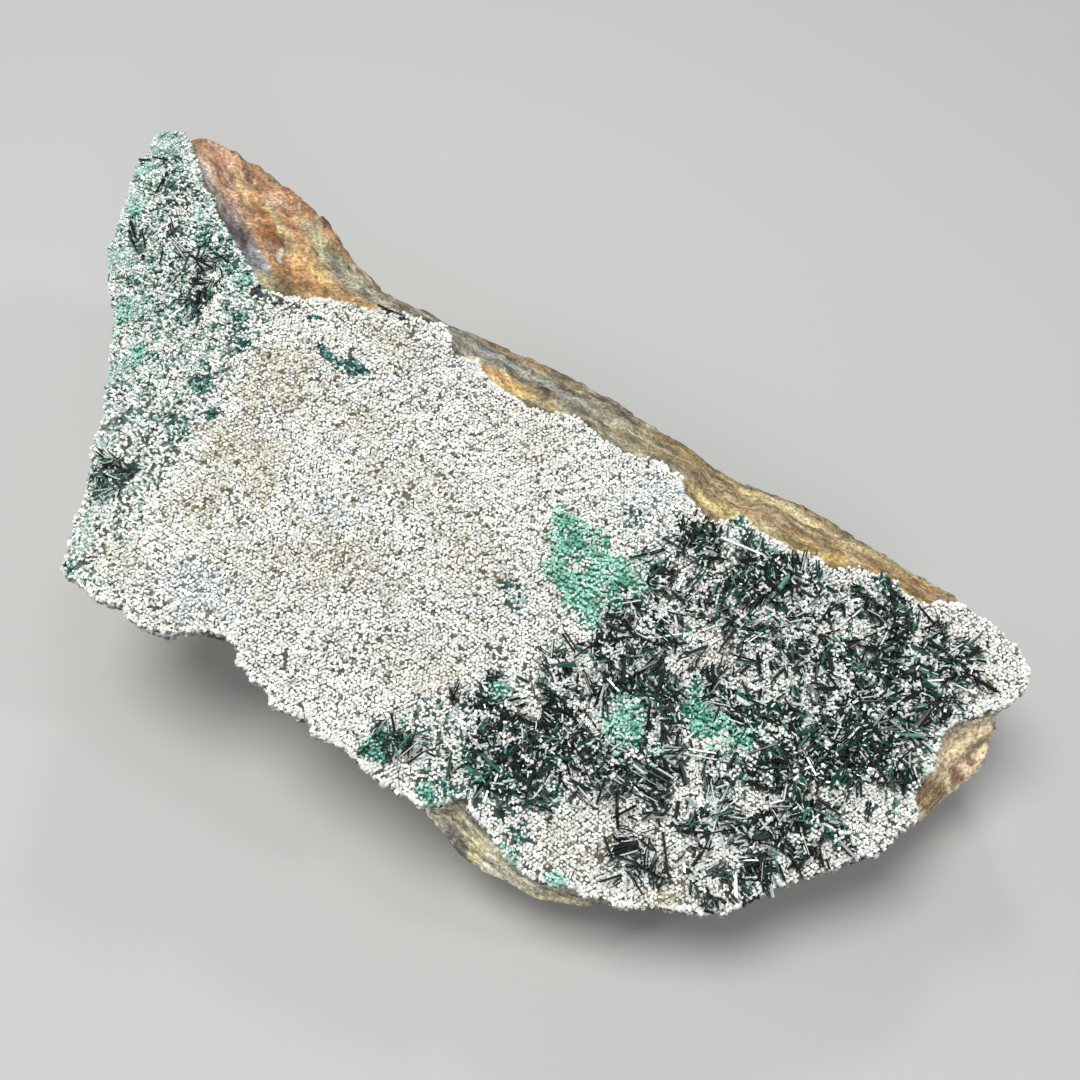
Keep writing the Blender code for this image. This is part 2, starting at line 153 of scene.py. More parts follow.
# Plan positions as points at a height over the face, and as flat points for the noises.
def onFace(plan, height):
    levels = faceHeight(plan[..., 0], plan[..., 1]) + height
    return np.concatenate([plan, levels[..., None]], axis=-1)


def flatPoints(plan):
    return np.column_stack([plan, np.zeros(len(plan))])


crustEdge = {"noise": (2.4, 21, 2), "rounds": 400}


# An edge with fine points between its own, pushed in and out by small noise where it is ragged.
def fineEdge(points, fine, ragged):
    coarse = np.array(points, float)
    place = np.arange((len(coarse) - 1) * fine + 1) / fine
    line = np.stack([np.interp(place, np.arange(len(coarse)), coarse[:, k]) for k in (0, 1)], axis=1)
    along = np.gradient(line, axis=0)
    normal = np.stack([along[:, 1], -along[:, 0]], axis=1)
    normal /= np.linalg.norm(normal, axis=1)[:, None]
    push = ragged * roughNoise(flatPoints(line), *crustEdge["noise"])
    push[[0, -1]] = 0.0
    return line + normal * push[:, None]


# A Coons patch: both pairs of opposite edges are blended across, less the blend of the corners.
def outlineGrid(fine, ragged=0.0):
    front, back, left, right = (fineEdge(outline[side], fine, ragged)
                                for side in ("front", "back", "left", "right"))
    u = np.linspace(0, 1, len(front))[:, None, None]
    v = np.linspace(0, 1, len(left))[None, :, None]
    betweenFrontAndBack = (1 - v) * front[:, None, :] + v * back[:, None, :]
    betweenLeftAndRight = (1 - u) * left[None, :, :] + u * right[None, :, :]
    corners = ((1 - u) * ((1 - v) * front[0] + v * back[0])
               + u * ((1 - v) * front[-1] + v * back[-1]))
    grid = betweenFrontAndBack + betweenLeftAndRight - corners
    for _ in range(crustEdge["rounds"]):        # each inner point goes to the middle of its neighbours
        grid[1:-1, 1:-1] = (grid[:-2, 1:-1] + grid[2:, 1:-1] + grid[1:-1, :-2] + grid[1:-1, 2:]) / 4
    return grid


# A grid whose outermost points are drawn a share of a cell inwards.
def pullIn(grid, share):
    inner = grid.copy()
    inner[:, 0] += share * (grid[:, 1] - grid[:, 0])
    inner[:, -1] += share * (grid[:, -2] - grid[:, -1])
    inner[0] += share * (grid[1] - grid[0])
    inner[-1] += share * (grid[-2] - grid[-1])
    return inner


# Indices of a grid's outermost points, anticlockwise from its first corner: the crust's stations.
def borderOf(columns, rows):
    front = np.arange(columns) * rows
    right = (columns - 1) * rows + np.arange(1, rows)
    back = np.arange(columns - 2, -1, -1) * rows + rows - 1
    left = np.arange(rows - 2, 0, -1)
    return np.concatenate([front, right, back, left])


# Two triangles for each cell of a grid, facing up.
def gridTriangles(columns, rows):
    corner = (np.arange(columns - 1)[:, None] * rows + np.arange(rows - 1)[None, :]).ravel()
    first = np.stack([corner, corner + rows, corner + rows + 1], axis=1)
    second = np.stack([corner, corner + rows + 1, corner + 1], axis=1)
    return np.concatenate([first, second])


# Triangles between two closed lines of points that run anticlockwise seen from above.
def bandTriangles(upper, lower):
    nextUpper, nextLower = np.roll(upper, -1), np.roll(lower, -1)
    return np.concatenate([np.stack([upper, lower, nextLower], axis=1),
                           np.stack([upper, nextLower, nextUpper], axis=1)])


# Even-odd rule: a ray to the right crosses the polygon an odd number of times.
def insidePolygon(plan, polygon):
    crossed = np.zeros(len(plan), bool)
    for (ax, ay), (bx, by) in zip(polygon, polygon[1:] + polygon[:1]):
        if ay == by:
            continue
        spans = (ay > plan[:, 1]) != (by > plan[:, 1])
        crossed ^= spans & (plan[:, 0] < ax + (plan[:, 1] - ay) * (bx - ax) / (by - ay))
    return crossed


# Distance to the polygon's edge, positive inside it and negative outside.
def depthInPolygon(plan, polygon):
    nearest = np.full(len(plan), np.inf)
    for start, end in zip(polygon, polygon[1:] + polygon[:1]):
        start, span = np.array(start, float), np.array(end, float) - start
        share = np.clip((plan - start) @ span / (span @ span), 0, 1)
        nearest = np.minimum(nearest, np.linalg.norm(plan - start - share[:, None] * span, axis=1))
    return np.where(insidePolygon(plan, polygon), nearest, -nearest)


# Rises from 0 at low to 1 at high, level at both ends.
def smoothStep(value, low, high):
    share = np.clip((value - low) / (high - low), 0, 1)
    return share * share * (3 - 2 * share)


# sRGB hex values turned to the linear colour that Blender's shaders use.
def colourOf(hexValue):
    channels = [int(hexValue[k:k + 2], 16) / 255 for k in (1, 3, 5)]
    return [c / 12.92 if c <= 0.04045 else ((c + 0.055) / 1.055) ** 2.4 for c in channels] + [1.0]


# Adds a node, sets its settings and fills its sockets with values or with links from other nodes.
def addNode(material, kind, sockets=None, **settings):
    node = material.node_tree.nodes.new(kind)
    for name, value in settings.items():
        setattr(node, name, value)
    for name, value in (sockets or {}).items():
        if isinstance(value, bpy.types.NodeSocket):
            material.node_tree.links.new(value, node.inputs[name])
        else:
            node.inputs[name].default_value = value
    return node


def newMaterial(name):
    material = bpy.data.materials.new(name)
    material.use_nodes = True
    material.node_tree.nodes.clear()
    return material


def finishMaterial(material, shader):
    addNode(material, "ShaderNodeOutputMaterial", {"Surface": shader.outputs["BSDF"]})
    return material


# Puts arrays of points (millimetres) and triangles into a mesh, with colours for its points.
def addPiece(name, points, triangles, material, colours=None, smooth=False):
    mesh = bpy.data.meshes.new(name)
    mesh.vertices.add(len(points))
    mesh.vertices.foreach_set("co", toMetres(points).ravel())
    mesh.loops.add(triangles.size)
    mesh.loops.foreach_set("vertex_index", triangles.ravel().astype(np.int32))
    mesh.polygons.add(len(triangles))
    mesh.polygons.foreach_set("loop_start", np.arange(0, triangles.size, 3, dtype=np.int32))
    mesh.update(calc_edges=True)
    mesh.validate()
    mesh.polygons.foreach_set("use_smooth", np.full(len(mesh.polygons), smooth))
    for label, values in (colours or {}).items():
        layer = mesh.color_attributes.new(label, "FLOAT_COLOR", "POINT")
        layer.data.foreach_set("color", np.asarray(values, np.float32).ravel())
    piece = bpy.data.objects.new(name, mesh)
    piece.data.materials.append(material)
    bpy.context.scene.collection.objects.link(piece)
    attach(piece, specimen["body"])
    print(name, len(triangles), "triangles")
    return piece


# Stains on the crust, by kind: (x, y, reach along, reach across, turn in degrees, strength).
stains = {
    "mint": [
        (-81.2, 18, 1.9, 1.6, 0, 0.7), (-80, 24.5, 1.6, 1.0, 20, 0.4), (-69, 20.4, 1.8, 1.0, -30, 0.4),
        (-53.5, 13.4, 1.7, 1.1, 0, 0.6), (-61, -4.8, 3.0, 1.2, -12, 0.5),
        (-69, -0.8, 3.6, 1.4, -50, 0.4), (-86.5, 24, 3.0, 1.2, 70, 0.3),
        (15.4, 6.2, 4.4, 3.0, -25, 1.0), (12.6, 8.4, 2.0, 1.0, -30, 1.0), (24.2, 5.6, 3.6, 3.3, 0, 1.1),
        (19.5, 1.6, 4.2, 2.3, 0, 0.95), (22.6, -0.8, 3.0, 2.0, 0, 1.1), (17.5, 9.2, 3.0, 1.2, 0, 0.7),
        (37.0, -12.2, 4.6, 3.2, 0, 1.4), (51.2, -4.2, 3.0, 2.8, 30, 1.4),
        (26.6, 7.0, 3.0, 3.6, 0, 0.45), (46.8, -4.4, 4.4, 2.8, 12, 1.4),
        (18.8, -17.9, 1.5, 1.0, 40, 1.0), (8.3, -35.0, 1.5, 1.2, 0, 1.0),
        (19, -36.2, 2.4, 1.0, -30, 0.8), (38.6, -34.8, 1.8, 0.8, 20, 0.8),
        (31.5, -35.5, 2.0, 0.8, 0, 0.6), (33.5, -9.8, 1.2, 1.0, 0, 0.7), (42, -1.5, 1.4, 1.0, 0, 0.5)],
    "teal": [
        (-64.9, 17.4, 2.6, 1.5, -30, 1.3), (-57.5, 15.4, 3.4, 1.9, -25, 0.9),
        (-61.5, 18.4, 2.6, 1.2, -30, 0.8), (-52.6, 8.4, 1.3, 0.8, 0, 0.9),
        (-48.4, 6.8, 3.0, 1.4, -35, 1.7), (-46.0, 4.4, 1.7, 1.4, 0, 1.8),
        (-39.5, 14.6, 1.2, 1.3, 0, 0.9), (-28.4, 11.4, 2.9, 1.2, 5, 2.2),
        (-32.8, 10.4, 2.8, 0.8, -12, 2.0), (-30.6, 10.8, 2.2, 0.8, 0, 2.0),
        (-46.6, -5.2, 1.9, 1.7, 0, 1.1), (-43, -7.6, 1.2, 0.9, 20, 1.1), (-46, -12.4, 2.1, 1.7, 0, 0.6),
        (-49.5, -22.2, 3.0, 2.8, 0, 0.5), (-50.6, -26.2, 1.3, 1.6, 0, 0.6),
        (-49, -1.6, 1.4, 1.1, 0, 0.8), (-46, -38, 1.3, 0.9, 0, 0.9), (-58.5, -4.2, 1.5, 1.2, 0, 0.8),
        (-60, 4.0, 7.0, 4.0, -40, 0.35), (-68, 8, 6.0, 5.0, -40, 0.35), (12.6, -5.4, 2.8, 2.3, 30, 0.6),
        (21.8, 15.2, 2.6, 1.9, 0, 0.5), (34.8, 23.4, 1.3, 1.4, 0, 1.0), (38.5, 22.0, 2.6, 1.4, 0, 0.7),
        (58, 28, 1.8, 1.5, 0, 0.9), (74.5, 5.6, 1.2, 1.9, 0, 0.8), (18.6, -33.6, 3.2, 2.6, 0, 0.8),
        (24, -29.5, 5.0, 3.2, 0, 0.6), (32, -25.5, 2.4, 2.6, 0, 0.7), (32, -32, 1.8, 2.2, 0, 0.8),
        (56, 8, 22.0, 18.0, 20, 0.16), (9.2, -32.8, 2.4, 2.0, 0, 0.9), (13, -27, 5.0, 4.0, 30, 0.4),
        (47, -34.0, 2.0, 0.8, 15, 0.4)],
    "black": [
        (-60.8, 9.8, 3.6, 1.3, -65, 0.9), (-57.2, 7.2, 3.2, 1.4, -55, 1.0),
        (-74, 20, 9.0, 4.0, -38, 0.2), (-80, 26.5, 4.0, 2.6, -40, 0.4), (-84, 28.6, 4.2, 0.7, 22, 1.2),
        (-78.2, 23.8, 2.8, 2.2, -30, 0.6), (-73.8, 23.6, 2.8, 1.4, -30, 0.55),
        (-76.4, 12.2, 3.2, 1.3, -38, 0.7), (-71.6, 16.4, 2.4, 1.3, -38, 0.7),
        (-50.0, 13.0, 1.4, 1.1, 0, 0.9), (-46, 13.6, 1.8, 0.9, 0, 0.8), (-28.4, 22.6, 2.7, 0.6, 5, 1.1),
        (-50.4, -22.0, 2.6, 2.2, 0, 0.8), (-50.6, -26.4, 1.0, 1.2, 0, 0.7),
        (-66.5, 13.5, 5.0, 4.0, -40, 0.15), (-56, -15, 1.0, 0.7, 0, 0.8)],
    "film": [
        (-87, 31.5, 4.0, 3.0, 20, 1.1), (-87, 24, 5.0, 2.4, 70, 1.0), (-84.5, 16.5, 6.0, 2.4, 68, 0.95),
        (-78, 8.5, 6.0, 2.6, 45, 0.9), (-70, 0.5, 6.0, 2.6, 45, 0.85), (-63, -8.5, 6.0, 2.4, 52, 0.7),
        (-56, -19, 6.0, 2.0, 60, 0.6), (-79, 27.5, 5.0, 1.4, -40, 0.6), (-48, -33, 6.0, 2.6, -60, 0.5),
        (-72.5, 25.3, 4.0, 1.0, -35, 0.5)],
    "beige": [
        (-36.5, 2, 7.0, 6.0, 20, 1.0), (-22.5, 4, 6.0, 4.0, 20, 0.7), (-40, -33, 7.0, 3.0, -10, 0.8),
        (-34, -22, 5.0, 3.0, 20, 0.7), (-34, -11, 7.0, 7.0, 30, 1.0), (-28, 18.5, 8.0, 3.5, 0, 0.7),
        (4.5, -4.5, 7.0, 5.0, 0, 0.7), (-9.5, 1.5, 9.0, 5.0, 20, 0.6), (-12, -15, 9.0, 6.0, 10, 0.85),
        (2.5, 17.5, 8.0, 4.0, 0, 0.45), (-22, -24, 8.0, 4.0, 0, 0.5), (38, -30, 6.0, 4.0, 0, 0.5),
        (53, -28, 3.4, 1.8, 40, 1.3), (13.8, 3.8, 2.6, 1.6, -20, 1.2), (25.4, 6.2, 2.4, 1.4, 0, 0.9),
        (36.2, -5.8, 1.6, 1.2, 0, 1.3), (7, -22, 8.0, 5.0, 0, 0.5)],
    "blue": [
        (-25.5, -30.5, 6.0, 3.4, 0, 1.0), (-16.5, -9.5, 5.0, 2.6, 30, 0.8),
        (-15.5, 20.5, 4.0, 2.0, 0, 0.6), (-31, -34, 6.0, 3.0, 10, 0.5), (22, 16, 6.0, 4.0, 0, 0.7),
        (6, -17.5, 4.0, 2.0, 30, 0.6), (23.5, 22, 3.4, 2.4, 0, 0.9), (-58.5, -14, 4.0, 2.0, 60, 0.6)]}
# A noise is (cell size in mm, seed) or (cell size in mm, seed, layers).
stainEdge = {"wander": 0.55, "noise": (2.2, 31, 3), "reach": (1.35, 0.45)}

# Where the epidote needles stand: thinly all over the outline, thick in the clumps, and hardly at
# all in the white windows. Clumps and windows are (x, y, reach along, reach across, turn, strength).
needleField = {
    "outline": [(13, -31), (18, -32), (26, -32), (32, -30), (38, -27), (44, -23), (50, -25),
                (56, -26), (62, -23), (66, -16), (70, -10), (72, -3), (73.5, 4), (73, 9),
                (74, 15), (76, 20), (76.5, 25), (70, 28), (61, 26.5), (54, 25.5), (48, 22.5),
                (39, 22), (33, 20), (27, 18), (25, 12), (26, 4), (27, 0), (24, -6), (20, -13),
                (15, -18)],
    "thin": 0.17, "edge": (-0.4, 3.0), "wander": 0.5, "noise": (2.8, 33, 3),
    "clumpReach": (1.3, 0.6), "windowReach": (1.2, 0.6), "windowWander": 0.6, "mintClears": 0.85,
    "tuftNoise": (1.5, 96), "tuftEdge": (-0.1, 0.25), "tuftLoss": 0.35, "tuftThick": (0.7, 1.0),
    "clumps": [
        (66, 22, 7, 6, 0, 0.7), (63, 13, 6, 5, 90, 0.75), (68.5, 13, 5, 4, 90, 0.95),
        (67, 5, 6, 5, 0, 1.0), (61, 6, 3.5, 4, 0, 0.75), (71.8, 24, 4.0, 3, -30, 0.95),
        (73, 17, 2.5, 4, 0, 0.6), (71, 10, 3, 3, 0, 0.8), (62, -1, 4.5, 3, 0, 0.8),
        (57, 14, 4, 5, 0, 0.42), (53, 18, 4, 4, 0, 0.34), (58, 22, 4, 4, 0, 0.38),
        (58, 28, 2, 1.8, 0, 0.9), (45, 20.8, 4.6, 2.2, 10, 0.85), (41.5, 16, 2.6, 5, 0, 0.85),
        (37, 13, 4.5, 3, -20, 0.6), (31, 17, 4.5, 3, 0, 0.58), (48, 16, 4, 4, 0, 0.42),
        (50, 11, 5, 3, 0, 0.42), (44, 10, 4, 3, 0, 0.45), (32.5, 3, 4.2, 1.8, -45, 0.9),
        (29, 8, 2.2, 3.4, 0, 0.75), (28, 2.5, 1.6, 4, 0, 0.9), (48, -1, 7.5, 3.6, 0, 0.95),
        (57, -2, 5.5, 4, 0, 0.9), (43.5, -5, 4.2, 3, 0, 0.95), (55.5, -7, 5.5, 3, 0, 0.9),
        (65.5, -8, 6, 2.4, 5, 0.95), (62, -11.5, 5, 2.6, 0, 0.8), (36, -6, 3.2, 4, 0, 0.9),
        (31, -3, 2.2, 4, -60, 0.85), (31, -9, 2.6, 3, 0, 0.6), (38.5, -12, 4.6, 2.6, 0, 0.95),
        (23.5, -10, 3, 1.6, -40, 0.7), (27, -14, 3.2, 3, 0, 0.85), (30, -18, 3.6, 4.2, 0, 1.0),
        (27, -22.5, 4.4, 3.6, 0, 1.0), (18, -20, 3, 3.8, -30, 1.0), (22, -25, 3, 3, 0, 0.85),
        (25.5, -29, 5, 2.6, 0, 0.85), (20, -29, 2.6, 2.4, 0, 0.55), (36, -17, 4.2, 3, 0, 0.75),
        (43, -17, 4.4, 3, 10, 0.45), (32, -26, 2.6, 3, 0, 0.45), (36.5, -21.5, 3, 2, 0, 0.4),
        (53, -13, 4, 4, 0, 0.35), (59.5, -15, 4.4, 2.6, 60, 0.5), (53, -19, 2.6, 3, 0, 0.3),
        (62.5, -20, 2, 3.4, -30, 0.55), (55.5, -23.5, 2.2, 2, 0, 0.7), (60, -24, 3.4, 1.4, 40, 0.55),
        (49.5, -10, 4, 2, 0, 0.75), (74.5, 5.5, 1.4, 2.2, 0, 1.0)],
    "windows": [
        (39.8, 5, 4.8, 3.0, 0, 0.95), (51.5, 4.5, 3.2, 2.2, 0, 0.7), (68.5, -6.2, 2.2, 1.0, 5, 0.8),
        (72.6, 7.6, 2.4, 2.0, 0, 0.95), (73.0, 12.6, 2.2, 2.2, 0, 0.85), (72.5, 1.2, 2.2, 1.6, 0, 0.7),
        (35, -29.5, 5.0, 2.6, 10, 0.9), (50, -22.5, 2.6, 1.6, 30, 0.8),
        (41, -24, 2.4, 1.6, 0, 0.7), (52, 25.5, 3.2, 1.8, 20, 0.8), (57, 9, 2.2, 1.6, 0, 0.6),
        (33.5, -13, 2.2, 1.4, 0, 0.7), (60, 17.5, 1.6, 2.2, 0, 0.6), (56, -18, 1.8, 2.4, 20, 0.7),
        (34, -2, 1.6, 2.2, -30, 0.7), (24, -17, 1.8, 2.4, 0, 0.8), (48.5, -14.5, 2.2, 1.6, 0, 0.7),
        (41, 12.5, 1.4, 1.0, 0, 0.6), (27.5, 12.5, 1.8, 2.2, 0, 0.8), (78, 21, 2.0, 4.0, 0, 1.0)]}


# Distance from an ellipse's middle, with 1 on its edge.
def ellipseDistance(plan, x, y, along, across, turn):
    cosine, sine = math.cos(math.radians(turn)), math.sin(math.radians(turn))
    away = plan - (x, y)
    return np.hypot((away[:, 0] * cosine + away[:, 1] * sine) / along,
                    (away[:, 1] * cosine - away[:, 0] * sine) / across)


# A soft ellipse's share at each place, from 0 outside its wandering edge to 1 near its middle.
def ellipseShare(plan, ellipse, wander, reach):
    return smoothStep(ellipseDistance(plan, *ellipse) + wander, *reach)


# Strength of one kind of stain at each place: soft ellipses whose edges wander with noise.
def stainOf(kind, plan):
    wander = stainEdge["wander"] * roughNoise(flatPoints(plan), *stainEdge["noise"])
    total = np.zeros(len(plan))
    for *ellipse, strength in stains[kind]:
        total = np.maximum(total, strength * ellipseShare(plan, ellipse, wander, stainEdge["reach"]))
    return total


# How thick the needles stand at each place, from 0 to 1.
def fieldOf(plan):
    wander = needleField["wander"] * roughNoise(flatPoints(plan), *needleField["noise"])
    inside = smoothStep(depthInPolygon(plan, needleField["outline"]), *needleField["edge"])
    field = needleField["thin"] * inside
    for *ellipse, strength in needleField["clumps"]:
        reached = ellipseShare(plan, ellipse, wander, needleField["clumpReach"])
        field = np.maximum(field, strength * reached)
    wander = needleField["windowWander"] * wander
    for *ellipse, strength in needleField["windows"]:
        field *= 1 - strength * ellipseShare(plan, ellipse, wander, needleField["windowReach"])
    return field * (1 - needleField["mintClears"] * np.clip(stainOf("mint", plan), 0, 1))


# Where the needles part and white grains stand up between them: less so in the thickest clumps.
def tuftOf(plan, field):
    loss = needleField["tuftLoss"] * smoothStep(field, *needleField["tuftThick"])
    bare = -valueNoise(flatPoints(plan), *needleField["tuftNoise"]) - loss
    return smoothStep(bare, *needleField["tuftEdge"])


# The left strip narrows and its stains grow paler towards the front.
leftStrip = {"narrowing": 0.11, "front": 0.4, "frontReach": (-25.0, 5.0), "edge": (-5.0, 3.0)}


# The left strip beyond the bend, where the druse is coarser and stained, from 0 to 1.
def leftStripOf(plan):
    front = leftStrip["front"]
    share = front + (1 - front) * smoothStep(plan[:, 1], *leftStrip["frontReach"])
    low = leftStrip["narrowing"] * (face["bendPoint"][1] - plan[:, 1])
    return share * smoothStep(beyondBend(plan[:, 0], plan[:, 1]) - low, *leftStrip["edge"])


# One colour of a palette, picked at random, for each of a count.
def pickFrom(palette, draw, count):
    return np.array([colourOf(h) for h in palette])[draw.integers(0, len(palette), count)]


# Moves the colours of the points towards one colour, by a share for each point.
def tint(colours, share, hexValue):
    share = np.clip(share, 0, 1)[:, None]
    return colours * (1 - share) + np.array(colourOf(hexValue)) * share


# The rock under the crust. Its girdle is (station, x, y, z) and its foot is (station, x, y); the
# stations count the outline's points from the left corner, anticlockwise seen from above.
rock = {
    "fine": 6, "inset": 0.14, "drop": 2.8, "soften": 7,
    "girdle": [
        (0, -42, -33, 25), (7, -23, -29.5, 21), (9, -17.5, -31.5, 22.5), (11, -12.5, -34.4, 24),
        (13, -8, -32.5, 20.5), (15, -2, -31.5, 18), (19, 10, -32.5, 16.5), (21, 16.5, -36, 15),
        (24, 24.5, -37.6, 13), (27, 33, -36.9, 11), (29, 41.5, -34, 10.4), (30, 44.5, -31, 10),
        (33, 54, -22.5, 9), (37, 64.5, -10.5, 10), (39, 71, -3.5, 12), (40, 77, 2.5, 13.5),
        (41, 77.8, 5, 13.2), (42, 79, 8, 12.9), (44, 81.3, 13, 13.4), (46, 82.3, 17.4, 14.5),
        (48, 81.6, 22.6, 17), (50, 80, 28.5, 18), (52, 76.5, 33.8, 20.5), (53, 70.5, 37, 21),
        (55, 65, 40.9, 19.5), (59, 47, 40, 22.7), (61, 40, 40.2, 24), (65, 26, 37.7, 26.3),
        (68, 19, 37.5, 27.6), (71, 6.5, 37.7, 30), (74, -6, 36.9, 32.5), (77, -15, 35.5, 34.2),
        (79, -25, 33.8, 36), (82, -38, 33, 37.8), (84, -47, 34.9, 40), (86, -55, 37.4, 42),
        (88, -66, 40, 42.8), (90, -78, 43, 43.4), (91, -83.5, 42, 46.4), (92, -86.8, 38.8, 50.0),
        (93, -87.4, 35.8, 48.6), (94, -86.5, 31.5, 45.5), (96, -80.5, 16.5, 38.5),
        (98, -66.5, 0.5, 33), (100, -55.5, -13.5, 29), (102, -49, -25, 26.5), (104, -42, -33, 25)],
    "foot": [
        (0, -38, -16), (7, -21, -20), (14, -4, -21.5), (20, 12, -22.5), (26, 31, -22), (31, 44, -15),
        (36, 55, -5), (42, 66, 7), (47, 70, 17), (52, 67, 27.5), (58, 48, 31.5), (66, 22, 30.5),
        (74, -6, 30.5), (80, -30, 28.5), (86, -50, 31), (90, -65, 33), (92, -72, 31), (96, -69, 20),
        (100, -55, 1), (104, -38, -16)],
    "shoulderRows": 18, "crown": 1.25, "skirtRows": 40, "belly": 1.35,
    "shoulderRough": 0.5, "skirtRough": ((0, 0.16, 0.76, 1), (0.5, 1, 1, 0)), "upShare": 0.5,
    "lump": 2.2, "lumpNoise": (15.0, 1), "chip": 0.8, "chipNoise": (6.0, 2),
    "ledge": 1.6, "ledgeSpacing": 7.0, "ledgeWander": 1.1, "ledgeLeast": 0.25,
    "ledgeNoise": (11.0, 4), "ledgeBreak": (-0.2, 0.6),
    "folia": (0.20, -0.10, 1.0), "bendNoise": (21.0, 3),
    "facet": 0.32, "facetNoise": (4.6, 11), "smallFacet": 0.14, "smallFacetNoise": (1.9, 12),
    "grit": 0.14, "gritNoise": (1.6, 13, 2), "fadeRows": (4, 3), "floorGap": 0.05,
    "lamina": 0.3, "laminaSpacing": 1.5, "laminaWander": 4.0,
    "laminaWave": 0.35, "laminaNoise": (5.0, 9),
    "base": "#83745b"}

